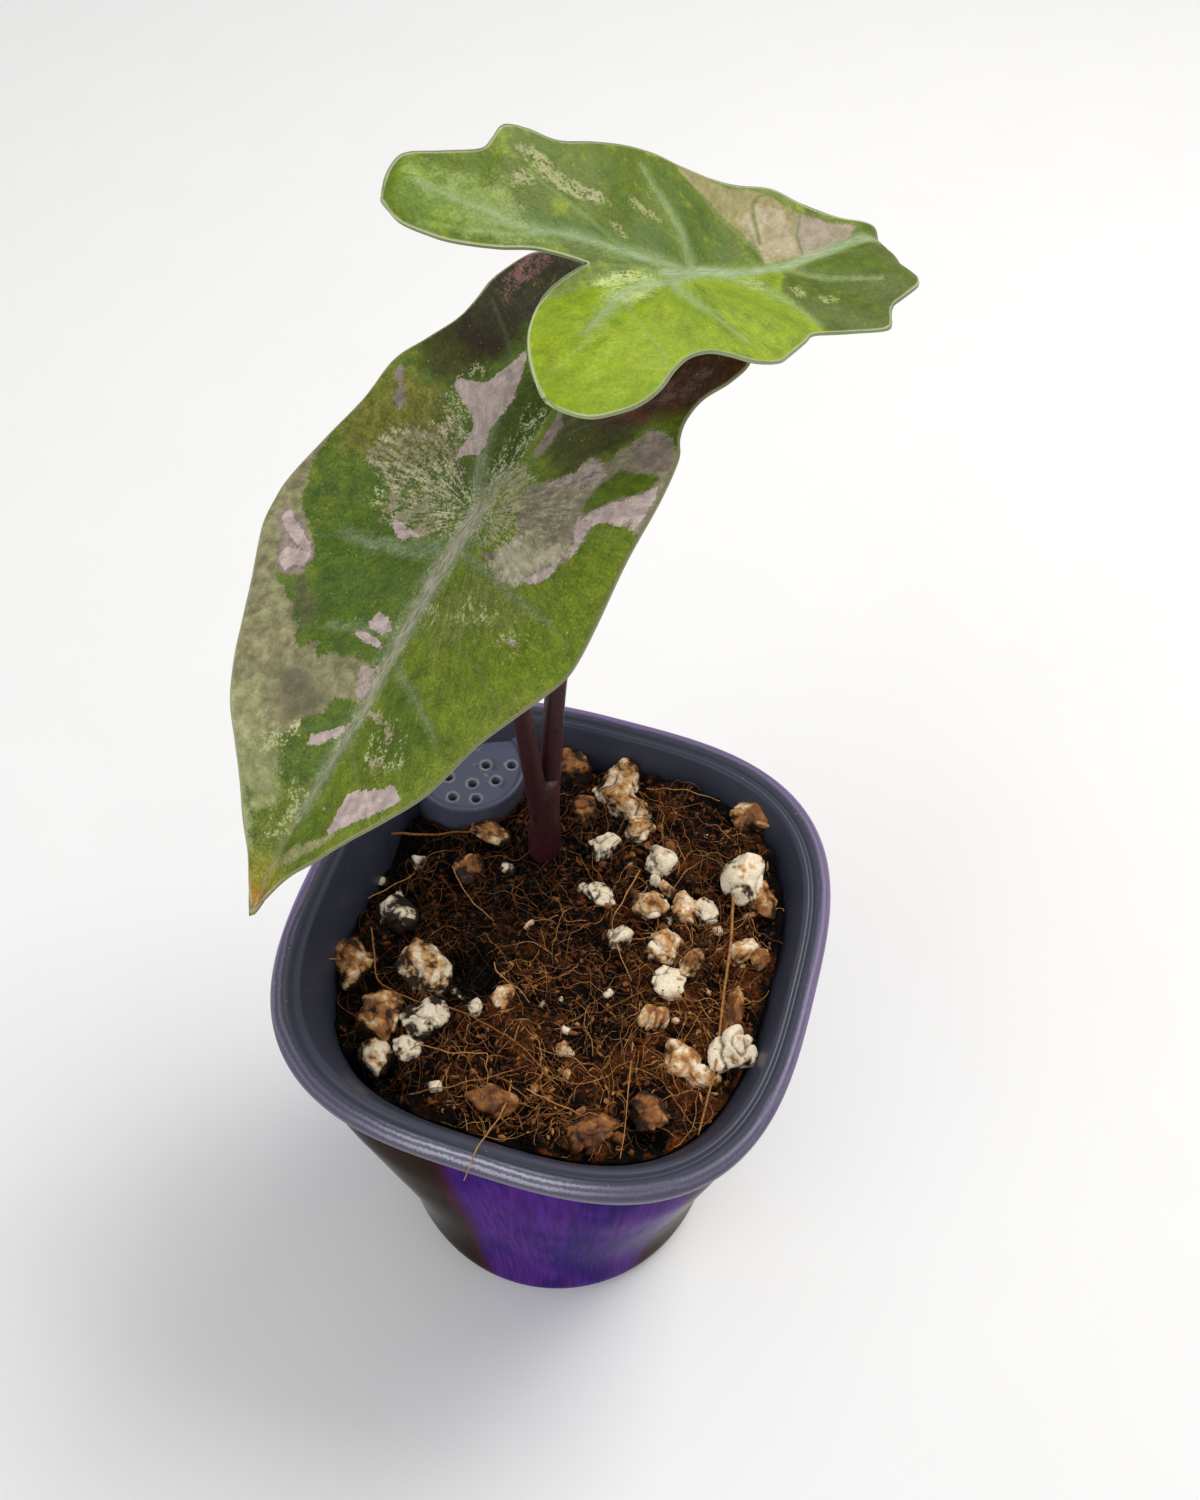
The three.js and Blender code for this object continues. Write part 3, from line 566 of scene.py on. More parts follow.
def liner_material(settings, name, tinted):
    """Frosted grey plastic. Where tinted, the bead over the violet rim shows it through, less in front."""
    paint = Paint(name)
    frost = paint.noise(paint.place(), 0.5, detail=3)
    clouds = paint.noise(paint.place(), 14, detail=2)
    specks = paint.cells(paint.place(), 3.0)
    # Painted light: the inlet's plate is the same plastic painted about twice as light as the shell, for the
    # light it catches.
    lightness = paint.fit(clouds, 0.3, 0.85 if tinted else 1.7)
    tone = paint.shaded(settings.liner, lightness)
    if tinted:
        # The bead's lilac: the violet rim seen through it, with a painted highlight at the left.
        tone = paint.mix(paint.attribute("bead"), tone, settings.lilac)
        # Painted highlight: pale stripes along the top of the lip, strongest in front and a little at the
        # left.
        across = paint.fit(frost, 0.016, paint.attribute("across"))
        wave = paint.math("SINE", paint.fit(across, 300, paint.times(clouds, 9)))
        pale = paint.times(paint.attribute("pale"), paint.ramp(wave, -0.6, 1.0, 0.15, 0.8))
        tone = paint.mix(pale, tone, srgb(188, 190, 202))
        # Painted shade: the groove in the top of the lip is darkened.
        tone = paint.mix(paint.attribute("groove"), tone, srgb(44, 46, 58))
    else:
        holes = [(INLET_X + x, INLET_Y + y, 0) for x, y in INLET_HOLES]
        near = paint.nearest(paint.place((1, 1, 0)), holes)
        tone = paint.mix(paint.ramp(near, 1.9, 1.2, 0, 0.4), tone, srgb(190, 194, 200))
    tone = paint.mix(paint.ramp(specks, 0.06, 0.03, 0, 0.5), tone, srgb(190, 188, 184))
    normal = paint.bump(frost, 0.03)
    rough = paint.fit(clouds, 0.14, 0.26)
    return paint.finish(tone, rough, normal, Specular_IOR_Level=0.35, Subsurface_Weight=0.08,
                        Subsurface_Scale=0.002)


def bead_tint(points):
    """How far the bead shows the violet below it: most at the left and the back, less at the right. The extra
    lilac at the left is a painted highlight.
    """
    outward = smooth_step(points[:, 2], 129.8, 131.2) * smooth_step(rim_share(points), 0.95, 0.98)
    side = smooth_step(points[:, 1], -46, 5) * (1 - 0.55 * smooth_step(points[:, 0], -20, 40))
    return outward * (0.15 + 0.85 * side)


def rim_share(points):
    """Distance from the axis as a share of the lip's outer edge in that direction."""
    angle = np.arctan2(points[:, 1], points[:, 0])
    outer = RIM_HALF * squareness(angle, points[:, 2])
    return np.hypot(points[:, 0], points[:, 1]) / outer


class ALOCASIA_OT_liner(bpy.types.Operator):
    """Makes the frosted liner with its rolled lip, and the water inlet in its back left corner"""
    bl_idname = "alocasia.liner"
    bl_label = "Liner"

    def execute(self, context):
        settings = context.scene.alocasia_pot
        bottom = [[0, LINER_BOTTOM], [35.2, LINER_BOTTOM], [36.9, 50.2]]
        outside = [[half + LINER_WALL, z] for half, z in reversed(LINER_INSIDE[1:-1])]
        profile = rounded_profile([*bottom, *outside, *LINER_LIP, *LINER_INSIDE, [0, LINER_FLOOR]], 0.46, 6)
        skin = squared_lathe(profile, settings.segments)
        shell = make_piece("liner_shell", skin, liner_material(settings, "frosted_plastic", True),
                           ["inner_pot"])
        points = skin[0]
        give(shell, "bead", bead_tint(points))
        share = rim_share(points)
        top = smooth_step(points[:, 2], 132.6, 133.3)
        front = smooth_step(-points[:, 1], 40, 50) * smooth_step(np.abs(points[:, 0] - 2), 30, 8)
        left = smooth_step(-points[:, 0], 30, 48)
        give(shell, "across", share)
        # pale: where the painted highlight lies on the lip's top, most in front.
        give(shell, "pale", top * smooth_step(share, 0.94, 0.96) * (0.15 + 0.75 * front + 0.15 * left))
        # Where the painted shade of the lip's groove lies.
        give(shell, "groove", top * smooth_step(np.abs(share - 0.93), 0.014, 0.004) * 0.7)
        self.make_inlet(settings)
        return {"FINISHED"}

    def make_inlet(self, settings):
        """A column with a perforated plate and a rolled lip: a round profile about the inlet's own axis."""
        radius, top = INLET_RADIUS, INLET_TOP
        profile = rounded_profile([
            [0, INLET_BOTTOM], [radius, INLET_BOTTOM], [radius, top + 0.3], [radius - 0.3, top + 0.9],
            [radius - 0.9, top + 0.9], [radius - 1.4, top + 0.5], [radius - 1.6, top], [0, top]], 0.4, 5)
        angle = np.arange(96)[None] * TURN / 96
        half, height = profile[1:-1, 0, None], profile[1:-1, 1, None]
        rings = xyz(INLET_X + half * np.cos(angle), INLET_Y + half * np.sin(angle), height)
        rings[..., :2] = inside_liner(rings)
        low = np.array([[INLET_X, INLET_Y, INLET_BOTTOM]])
        high = np.array([[INLET_X, INLET_Y, top]])
        inlet = make_piece("water_inlet", bundle(rings[None], low, high),
                           liner_material(settings, "frosted_plate", False), ["inner_pot"])
        self.drill(inlet)

    def drill(self, inlet):
        """Cuts the round holes through the plate with one mesh of short upright tubes."""
        centres = np.array([[[INLET_X + x, INLET_Y + y, z] for z in (122.0, 124.0, 130.0)]
                            for x, y in INLET_HOLES])
        radii = np.full((len(INLET_HOLES), 3), INLET_HOLE)
        drill = put_skin("inlet_drill", tubes(centres, radii, 20, up=(1, 0, 0)))
        cut = inlet.modifiers.new("holes", "BOOLEAN")
        cut.object = drill
        cut.operation = "DIFFERENCE"
        cut.solver = "EXACT"
        depsgraph = bpy.context.evaluated_depsgraph_get()
        drilled = bpy.data.meshes.new_from_object(inlet.evaluated_get(depsgraph))
        inlet.modifiers.clear()
        inlet.data = drilled
        bpy.data.objects.remove(drill)


def liner_half_width(height):
    """Half width of the liner's hollow at a height, straight between the points of its profile."""
    halves, heights = np.array(LINER_INSIDE[::-1]).T
    return np.interp(height, heights, halves)


def liner_height(half):
    """Height at which the liner's hollow has a half width."""
    halves, heights = np.array(LINER_INSIDE[::-1]).T
    return np.interp(half, halves, heights)


def inside_liner(points, into_wall=0.6):
    """x and y of points, drawn in to the liner's wall where they would pass through it."""
    angle = np.arctan2(points[..., 1], points[..., 0])
    height = points[..., 2]
    limit = (liner_half_width(height) + into_wall) * squareness(angle, height)
    reach = np.hypot(points[..., 0], points[..., 1])
    return points[..., :2] * np.minimum(1, limit / np.maximum(reach, 1e-6))[..., None]


# The potting mix

SOIL_LEVEL = 124.5
SOIL_SINK_LEFT = 6.5
GAP = 0.3
WHITE, TAN, ORANGE, BROWN = -0.12, 0.35, 0.7, 1.0
CHUNKS = [
    [-41.5, -15.5, 9.5, 10.5, 7, 20, ORANGE], [-37.2, -2, 8, 8.5, 6, 70, WHITE],
    [-25.8, -13.8, 10.5, 13, 9, 35, TAN], [-21, -26, 8, 9.5, 6.5, 110, WHITE],
    [-30.5, -26.5, 9, 9.5, 7, 0, ORANGE], [-28, -35.5, 6.5, 8, 5.5, 40, TAN],
    [-23.8, 22.4, 5.5, 10.5, 5, 80, ORANGE], [-25.2, 13, 6, 7, 4.5, 20, BROWN],
    [-11, 43.4, 8.5, 9, 8, 0, BROWN], [0.5, 39, 8.5, 10, 8, 30, TAN], [6.2, 36, 7, 8, 7, 80, TAN],
    [-4.6, 33.6, 6, 6, 5, 15, BROWN], [2.6, 25, 5, 7, 5.5, 150, WHITE],
    [9.2, 31.2, 6, 7, 5.5, 60, TAN], [15.8, 24.4, 7, 6.5, 6, 10, WHITE],
    [32.8, 41, 7.5, 10, 6, 100, ORANGE], [34.6, 24.2, 9, 11, 9, 10, WHITE],
    [28.6, 15.2, 5.5, 6, 5, 45, WHITE], [16.4, 12.6, 6.5, 8, 6, 130, TAN],
    [5.4, 13.6, 5, 7, 4.5, 80, WHITE], [12.3, 4.4, 4.5, 7, 5, 150, WHITE], [22, 4, 7.5, 8, 5.5, 60, TAN],
    [24.4, -11.4, 5.5, 5.5, 4.5, 0, TAN], [42, -15.4, 7.5, 10, 8, 150, WHITE],
    [32.4, -19, 6.5, 8, 5, 60, TAN], [39.6, 20.4, 6, 8, 5, 40, ORANGE], [37.5, -21.6, 5, 6.5, 4.5, 100, TAN],
    [-1.6, -38, 6, 9, 5, 80, BROWN], [19.6, -38.6, 6, 10, 5, 120, BROWN], [28.8, -31, 6.5, 7, 5, 55, BROWN],
    [2.2, 43.6, 6.5, 7.5, 7, 20, TAN], [23.6, 14.1, 5, 7, 5, 20, TAN], [28.9, 1.7, 4, 7.5, 4.5, 160, TAN],
    [25.1, -3.3, 6, 7, 4, 70, WHITE], [40, -6.3, 4, 11, 5, 0, BROWN], [-22.2, -31.6, 5, 6, 4, 30, WHITE],
]
CHIPS = [
    [-17.6, -16.4, 4, WHITE], [-11.8, -19.9, 4.4, WHITE], [-6.6, -16.6, 5, TAN], [13.8, -8.3, 2.6, WHITE],
    [4.5, -12.2, 2, WHITE], [42.6, 6.3, 5, ORANGE], [38.8, 8.3, 5.6, TAN], [24.6, -37.9, 4.4, BROWN],
    [17.3, -41.7, 4.4, BROWN], [-22.3, -30.9, 4.5, WHITE], [-13.2, -38.8, 4, WHITE], [-37.5, 12.2, 5, WHITE],
    [-44.1, 6.2, 4, WHITE], [-38.8, 3.2, 3.6, WHITE], [-16.7, 14.8, 4, WHITE], [8.4, -23.6, 3, TAN],
    [19.4, 17.4, 4, TAN], [15.9, 19.5, 3, WHITE], [32.2, 11.4, 3, TAN],
]
VOIDS = [[-15.5, -13.5, 8, 5], [-32, -40, 7, 3], [-43, 9, 7, 3], [29, -34, 6, 3.5], [-36, 0.5, 6, 3],
         [-7, 8, 5, 2.5], [-16.8, -38.5, 4, 2], [12, -1, 4, 2]]
STRAWS = [
    (0.34, [[33.6, 17.6, 5], [35.6, 7.8, 3.4], [36.9, -2.7, 3.2], [38.3, -12.1, 3.4], [39.3, -20, 4],
            [39.6, -33, 1]]),
    (0.3, [[-44.5, 14.6, 5], [-38, 17.4, 3.4], [-31.5, 20.2, 2.6], [-25, 21.8, 3], [-21, 22.2, 3.2]]),
    (0.16, [[0.7, -33, 1], [1.4, -37, 2.4], [1.8, -43, 6.4], [1.4, -50, 12], [1.0, -53.8, 13.4],
            [0.2, -55.6, 9], [-0.8, -55.8, 3.6]]),
    (0.2, [[-40, -8.4, 4], [-37.2, -13.6, 3], [-34, -19.2, 2.4], [-25.8, -21.8, 2], [-19.1, -21.9, 2],
           [-12.7, -22.3, 2.2], [-6.2, -23.9, 1.8], [-0.8, -25.6, 2], [3.6, -27.8, 1.6], [9.9, -31.5, 1.2]]),
    (0.16, [[-44, -1, 3], [-41, 3, 3], [-36.5, 8.1, 2]]),
    (0.15, [[-29, 12, 1.5], [-24.9, 6.9, 2.6], [-20.9, 3.2, 2.4], [-14.9, 0.5, 1.2]]),
    (0.15, [[-22.6, -34.6, 1.4], [-20.8, -32.6, 2.4], [-18.3, -31.2, 2.2], [-13.4, -31.6, 2.4],
            [-8.5, -30.5, 2], [-5.6, -29.6, 2.2], [-5, -32, 1]]),
    (0.14, [[-18, -41.6, 1], [-10.2, -38.7, 2.4], [-3.4, -34.1, 2.2], [2.9, -29.4, 1]]),
    (0.15, [[-11.2, -9.6, 1], [-9.5, -12.4, 2.6], [-6.7, -13.5, 2.2], [-3.9, -14.5, 2.4], [-1.1, -15.9, 1]]),
    (0.16, [[4.3, -33.8, 1], [8.8, -35.1, 2.4], [12.9, -35.7, 2], [18.3, -36.2, 1]]),
    (0.13, [[21.8, -17.9, 1], [23.8, -28.1, 2.6], [25.6, -37, 3], [26.4, -43, 4]]),
    (0.16, [[7.6, 41.6, 2], [15, 41.2, 3.4], [20.2, 41.6, 3], [24.6, 42.4, 2]]),
    (0.16, [[12.1, 20.6, 2], [10.8, 11.3, 3], [10.4, 5.2, 2.6], [17.8, -5.1, 1.4]]),
    (0.16, [[-45.6, -19.4, 7.6], [-43, -17, 3.6], [-38, -14, 2.4]]),
]


def soil_height(x, y):
    """The mix's surface: a level, lower to the left, heaped at the back right, with swells and crumbs."""
    sink = SOIL_SINK_LEFT * smooth_step(-x, 6, 44)
    heap = 3.0 * smooth_step(x + 0.6 * y, 10, 52)
    swell = 0.9 * np.sin(x * 0.21 + 1.1) * np.cos(y * 0.24 - 0.4)
    crumbs = 0.55 * np.sin(x * 0.83 + y * 0.31) * np.sin(y * 0.77 - x * 0.42 + 2.0)
    return SOIL_LEVEL - sink + heap + swell + crumbs


def scattered(rng, count, margin):
    """x and y of places spread evenly over the mix, a margin clear of the liner."""
    angle, share = rng.uniform(0, TURN, count), np.sqrt(rng.uniform(0, 1, count))
    reach = share * (liner_half_width(SOIL_LEVEL) - margin) * squareness(angle, SOIL_LEVEL)
    return reach * np.cos(angle), reach * np.sin(angle)


def from_inlet(x, y):
    return np.hypot(x - INLET_X, y - INLET_Y)


def void_depth(x, y):
    """Millimetres that the mix lies lower in the open places between its clumps."""
    ragged = 2.6 * lattice_noise(xyz(x, y, 0), 3.0, 14, 2)
    return sum(deep * smooth_step(np.hypot(x - at_x, y - at_y) + ragged, reach, 0.4 * reach)
               for at_x, at_y, reach, deep in VOIDS)


def soil_relief(x, y):
    """Clods and crumbs on the mix: noise of three sizes, the coarse one with hollows, less the voids."""
    flat = xyz(x, y, 0)
    clods = lattice_noise(flat, 7.0, 3, 2)
    crumbs = lattice_noise(flat, 2.2, 5, 2)
    hollow = np.maximum(-clods - 0.1, 0) * (1.6 + 2.2 * smooth_step(-x, -6, 26))
    return 1.4 * clods - hollow + 0.9 * crumbs + 0.35 * lattice_noise(flat, 0.9, 8, 2) - void_depth(x, y)


def soil_top(x, y):
    return soil_height(x, y) + soil_relief(x, y)


def painted_shade_and_tufts(x, y):
    """How dark the mix is painted, mostly painted shade: most at the left, where it lies low, and in the
    voids, least in front and at the right, in tufts.
    """
    tufts = lattice_noise(xyz(x, y, 0), 6.5, 12, 2)
    side = smooth_step(-x + 0.5 * y, -18, 30) - 0.5 * smooth_step(x - y, 8, 48)
    return side + 0.35 * void_depth(x, y) - 0.8 * tufts


def soil_material(settings):
    """Painted shade: dark in the hollows, orange brown on the crests, all of it broken by matted fibres and
    grains.
    """
    paint = Paint("coir_mix")
    grain = paint.noise(paint.place(), 0.6, detail=6, roughness=0.75)
    clods = paint.noise(paint.place(), 4, detail=5, roughness=0.65)
    felt = paint.noise(paint.place((1, 0.28, 1)), 0.5, detail=4)
    fine = paint.cells(paint.place(), 0.7)
    crest = paint.plus(paint.attribute("crest"), paint.fit(clods, 2.2, -1.1))
    # Painted shade: the darkest tones lie in the hollows, by the relief.
    tone = paint.mix(paint.ramp(crest, -0.9, 0.1), srgb(9, 6, 4), settings.soil)
    tone = paint.mix(paint.ramp(crest, 0.0, 1.0), tone, settings.coir)
    matted = paint.times(paint.ramp(grain, 0.35, 0.65, 0.35, 1.5), paint.ramp(felt, 0.35, 0.65, 0.6, 1.35))
    tone = paint.shaded(tone, matted)
    normal = paint.bump(paint.plus(grain, fine), 0.8)
    return paint.finish(tone, 0.92, normal, Specular_IOR_Level=0.15)


class ALOCASIA_OT_soil(bpy.types.Operator):
    """Makes the mix as one closed body with a crumbly top, which stops at the liner and the inlet"""
    bl_idname = "alocasia.soil"
    bl_label = "Potting Mix"

    def execute(self, context):
        rings, segments = 90, 360
        angle = np.arange(segments)[None] * TURN / segments
        side_heights = np.array([LINER_FLOOR + GAP, 56, 66, 76, 88, 100, 110])[:, None]
        side = (liner_half_width(side_heights) - GAP) * squareness(angle, side_heights)
        wall = xyz(side * np.cos(angle), side * np.sin(angle), side_heights)
        half = np.linspace(1, 0, rings, endpoint=False)[:, None] * (liner_half_width(SOIL_LEVEL) - GAP)
        reach = half * squareness(angle, SOIL_LEVEL)
        x, y = reach * np.cos(angle), reach * np.sin(angle)
        z = soil_top(x, y)
        squeeze = np.minimum(1, (liner_half_width(z) - GAP) / (liner_half_width(SOIL_LEVEL) - GAP))
        x, y = x * squeeze, y * squeeze
        in_inlet = from_inlet(x, y) < INLET_RADIUS - 0.2
        pocket = np.maximum(INLET_BOTTOM + 2, liner_height(half + 1.5))
        top = xyz(x, y, np.where(in_inlet, np.minimum(z, pocket), z))
        low = np.array([[0, 0, LINER_FLOOR + GAP]])
        high = np.array([[0, 0, soil_top(np.zeros(1), np.zeros(1))[0]]])
        skin = bundle(np.concatenate([wall, top])[None], low, high)
        piece = make_piece("coir_mix_bed", skin, soil_material(context.scene.alocasia_mix),
                           ["potting_mix"])
        x, y, _ = skin[0].T
        # crest: the relief, less the painted shade at the left and in the voids.
        give(piece, "crest", soil_relief(x, y) / 1.5 - 0.5 * painted_shade_and_tufts(x, y))
        return {"FINISHED"}


def chunk_material():
    """Pumice, perlite and bark: white to orange brown by tone, with stains, brown creases that are partly
    painted shade, pits darkened as painted shade, and soil below.
    """
    paint = Paint("pumice_and_bark")
    stain = paint.noise(paint.place(), 3.2, detail=5, roughness=0.6)
    grain = paint.noise(paint.place(), 0.6, detail=5, roughness=0.7)
    pits = paint.cells(paint.place(), 1.7)
    spread = paint.fit(stain, 3.3, -1.62)
    blotched = paint.plus(paint.attribute("tone"), spread)
    base = paint.mix(paint.ramp(blotched, 0.0, 0.45), srgb(250, 234, 206), srgb(208, 160, 104))
    base = paint.mix(paint.ramp(blotched, 0.4, 0.8), base, srgb(150, 94, 46))
    base = paint.mix(paint.ramp(blotched, 0.9, 1.4), base, srgb(88, 50, 24))
    base = paint.shaded(base, paint.ramp(grain, 0.3, 0.7, 0.84, 1.14))
    # Painted shade: brown in the creases and dents of each lump, partly soil lodged there.
    creased = paint.plus(paint.attribute("hollow"), paint.fit(grain, 1.6, -0.8))
    base = paint.mix(paint.ramp(creased, 0.3, 1.2, 0, 0.75), base, srgb(104, 66, 34))
    # Painted shade: dark dots stand for the shade inside small pits.
    pitted = paint.times(paint.ramp(pits, 0.16, 0.08), paint.ramp(stain, 0.45, 0.55))
    base = paint.mix(pitted, base, srgb(30, 20, 12))
    soiled = paint.plus(paint.attribute("depth"), spread)
    base = paint.mix(paint.ramp(soiled, 0.15, 0.6), base, srgb(42, 25, 13))
    return paint.finish(base, 0.62, paint.bump(grain, 0.28), Specular_IOR_Level=0.35)


class ALOCASIA_OT_chunks(bpy.types.Operator):
    """Makes the chunks of pumice, perlite and bark that lie in the mix, and small chips among them"""
    bl_idname = "alocasia.chunks"
    bl_label = "Chunks"

    def execute(self, context):
        settings = context.scene.alocasia_mix
        table = np.array(CHUNKS)
        x, y, sizes = table[:, 0], table[:, 1], table[:, 2:5]
        centres = xyz(x, y, soil_height(x, y) + 0.18 * sizes[:, 2])
        material = chunk_material()
        self.make("pumice_chunks", centres, sizes * [1.12, 1.12, 1.2], np.radians(table[:, 5]), table[:, 6],
                  material, roughness=0.17, rings=32, sides=54, seed=21)
        rng = np.random.default_rng(8)
        x, y = scattered(rng, settings.chips, 4)
        more_right = rng.uniform(0, 1, settings.chips) < 0.35 + x / 70
        keep = more_right & (from_inlet(x, y) > INLET_RADIUS + 2)
        seen = np.array(CHIPS)
        x, y = np.append(seen[:, 0], x[keep]), np.append(seen[:, 1], y[keep])
        width = np.append(seen[:, 2], rng.uniform(0.8, 2.8, keep.sum()))
        size = width[:, None] * rng.uniform(0.7, 1.3, (len(x), 3))
        centres = xyz(x, y, soil_top(x, y) + 0.1 * size[:, 2])
        tones = np.append(seen[:, 3], rng.choice([WHITE, TAN, TAN, ORANGE, BROWN], keep.sum()))
        turns = rng.uniform(0, TURN, len(x))
        self.make("perlite_chips", centres, size, turns, tones, material, roughness=0.24, rings=10, sides=16,
                  seed=33)
        return {"FINISHED"}

    def make(self, name, centres, sizes, turns, tones, material, **form):
        """Lumps that end in the liner's wall, darker where they lie in the mix."""
        skin, hollow = lumps(centres, sizes, turns, 0 * turns, creases=0.16, facets=16, **form)
        points = skin[0]
        points[:, :2] = inside_liner(points)
        piece = make_piece(name, skin, material)
        give(piece, "hollow", hollow)
        give_each(piece, "tone", tones)
        rise = (points[:, 2].reshape(len(centres), -1) - centres[:, 2:]) / sizes[:, 2:]
        # Painted shade: chunks where the mix is shaded take more of the soil colour over them.
        shade_and_tufts = painted_shade_and_tufts(centres[:, 0], centres[:, 1])[:, None]
        give(piece, "depth", (0.42 + 0.3 * shade_and_tufts - 1.5 * rise).ravel())


def fibre_material(settings):
    paint = Paint("coir_fibre")
    tone = paint.attribute("tone")
    grain = paint.noise(paint.place(), 0.8, detail=2)
    base = paint.mix(paint.ramp(tone, 0.0, 0.6), settings.soil, settings.coir)
    base = paint.mix(paint.ramp(tone, 0.6, 1.0), base, settings.root)
    base = paint.shaded(base, paint.ramp(grain, 0.3, 0.7, 0.7, 1.2))
    return paint.finish(base, 0.8, None, Specular_IOR_Level=0.25)


class ALOCASIA_OT_fibres(bpy.types.Operator):
    """Makes the coir fibres, curly roots, straws and loose crumbs that lie on the mix"""
    bl_idname = "alocasia.fibres"
    bl_label = "Fibres and Crumbs"

    def execute(self, context):
        settings = context.scene.alocasia_mix
        material = fibre_material(settings)
        rng = np.random.default_rng(5)
        self.scatter("coir_fibres", rng, settings.fibres, material, steps=9, longest=10.0, radius=0.105,
                     arch=2.8, tones=(0.08, 1.05))
        self.scatter("curly_roots", rng, settings.roots, material, steps=16, longest=24.0, radius=0.11,
                     arch=3.2, tones=(0.72, 1.2))
        self.make_straws(rng, material)
        self.make_crumbs(rng, settings.crumbs, material)
        return {"FINISHED"}

    def scatter(self, name, rng, count, material, steps, longest, radius, arch, tones):
        """Curved hairs: a heading that drifts at random turns each one, and it rises and falls in a low
        arch above the mix. Steps that would enter the inlet or leave the liner are drawn back."""
        x, y = scattered(rng, count, 3)
        heading = rng.uniform(0, TURN, (count, 1)) + np.cumsum(rng.normal(0, 0.32, (count, steps)), axis=1)
        step = rng.uniform(0.35, 1, (count, 1)) * longest / steps
        along = np.cumsum(np.stack([np.cos(heading) * step, np.sin(heading) * step], axis=-1), axis=1)
        flat = np.stack([x, y], axis=-1)[:, None] + along - along.mean(axis=1, keepdims=True)
        share = np.linspace(0, 1, steps)[None]
        lift = rng.uniform(0.1, 1, (count, 1)) ** 2 * arch * np.sin(math.pi * share) - 0.15
        z = soil_top(flat[..., 0], flat[..., 1]) + lift
        centres = np.concatenate([flat, z[..., None]], axis=-1)
        away = flat - [INLET_X, INLET_Y]
        reach = np.linalg.norm(away, axis=-1, keepdims=True)
        near = reach < INLET_RADIUS + 0.5
        pushed = [INLET_X, INLET_Y] + away / np.maximum(reach, 1e-6) * (INLET_RADIUS + 0.5)
        centres[..., :2] = np.where(near, pushed, flat)
        centres[..., :2] = inside_liner(centres, -0.8)
        radii = radius * rng.uniform(0.6, 1.4, (count, 1)) * (1 - 0.7 * share)
        piece = make_piece(name, tubes(centres, radii, 3), material)
        low, high = tones
        # Painted shade: fibres are darker where the mix is shaded.
        tone = low + (high - low) * rng.uniform(0, 1, count) ** 1.5 - 0.3 * painted_shade_and_tufts(x, y)
        give_each(piece, "tone", tone)

    def make_straws(self, rng, material):
        """The long straws: a curve through a few places, each a height above the mix."""
        parts = []
        for thickest, line in STRAWS:
            path = spline(np.array(line, float), 40)
            path[:, 2] += soil_height(path[:, 0], path[:, 1])
            radii = thickest * np.linspace(1, 0.6, 40)[None]
            parts.append(tubes(path[None], radii, 7))
        piece = make_piece("straws", joined(parts), material)
        give_each(piece, "tone", rng.uniform(0.75, 1.0, len(STRAWS)))

    def make_crumbs(self, rng, count, material):
        x, y = scattered(rng, count, 2)
        keep = from_inlet(x, y) > INLET_RADIUS + 1.5
        x, y = x[keep], y[keep]
        size = rng.uniform(0.4, 1.5, len(x))[:, None] * rng.uniform(0.3, 1.0, (len(x), 3)) * [1, 2.4, 1]
        centres = xyz(x, y, soil_top(x, y) + 0.2 * size[:, 2])
        turns, tilts = rng.uniform(0, TURN, len(x)), rng.normal(0, 0.5, len(x))
        skin, _ = lumps(centres, size, turns, tilts, creases=0, facets=0, roughness=0.45, rings=2, sides=5,
                        seed=44)
        piece = make_piece("coir_crumbs", skin, material)
        # Painted shade: crumbs are darker where the mix is shaded.
        give_each(piece, "tone", 0.85 * rng.uniform(0, 1, len(x)) ** 1.5 - 0.22 * painted_shade_and_tufts(x, y))


def joined(parts):
    """Several skins as one."""
    shift = np.cumsum([0] + [len(points) for points, _, _ in parts])
    points = np.concatenate([part[0] for part in parts])
    quads = np.concatenate([part[1] + move for part, move in zip(parts, shift)])
    triangles = np.concatenate([part[2] + move for part, move in zip(parts, shift)])
    return points, quads, triangles


# The blades. u runs along the midrib from the stalk to the tip, and v out to each side.
# heading, droop and roll turn a blade; bend lists how far the midrib has turned down at a u;
# each side rises from the midrib by an angle and curls over by so many degrees a millimetre.

LOWER_BLADE = {
    "seat": [-23.1, 27.1, 219], "heading": -107, "droop": 26, "roll": 9,
    "bend": [[-55, -14], [0, 0], [80, 6]], "blend_at": -5, "blend": 9,
    "rise": [18, 18], "curl": [0.4, 0.4], "lobe_rise": [18, 18], "lobe_curl": [0.4, 0.4],
    "veins": 8, "pleat": 0.5, "rib_depth": 1.0, "sinus": [-27, 1],
    "lobe_edges": [
        [[-47, 24], [-45, 18], [-40, 14], [-34, 10]],
        [[-51.5, -12], [-50, -8], [-43, -5.5], [-35, -3.5]],
    ],
    "margins": [
        [[-47, 24], [-46, 28.5], [-41, 32.2], [-36.5, 31.5], [-32, 29], [-27.5, 28.6], [-24, 29.7],
         [-20.5, 31.9], [-13, 33.4], [-2.5, 34.1], [8, 35.4], [15, 36], [19, 35.6], [23.5, 33.5],
         [28, 31], [35, 27.3], [45, 23.6], [52, 18.8], [59, 12.9], [65, 8.2], [71, 3.4], [79, 0]],
        [[-51.5, -12], [-50.7, -15.4], [-48.5, -20.5], [-45.5, -22.6], [-39.5, -24.4], [-34.5, -24.4],
         [-29.5, -25], [-23.5, -27.8], [-17.5, -30.7], [-8.6, -31.3], [1, -33.7], [10, -35.8],
         [14.5, -35.9], [18.5, -35.5], [22, -34.3], [29, -31.2], [36, -28.5], [42.5, -26], [49, -22.5],
         [54.5, -17.9], [60, -13.3], [65.5, -9.2], [71, -4.8], [79, 0]],
    ],
}
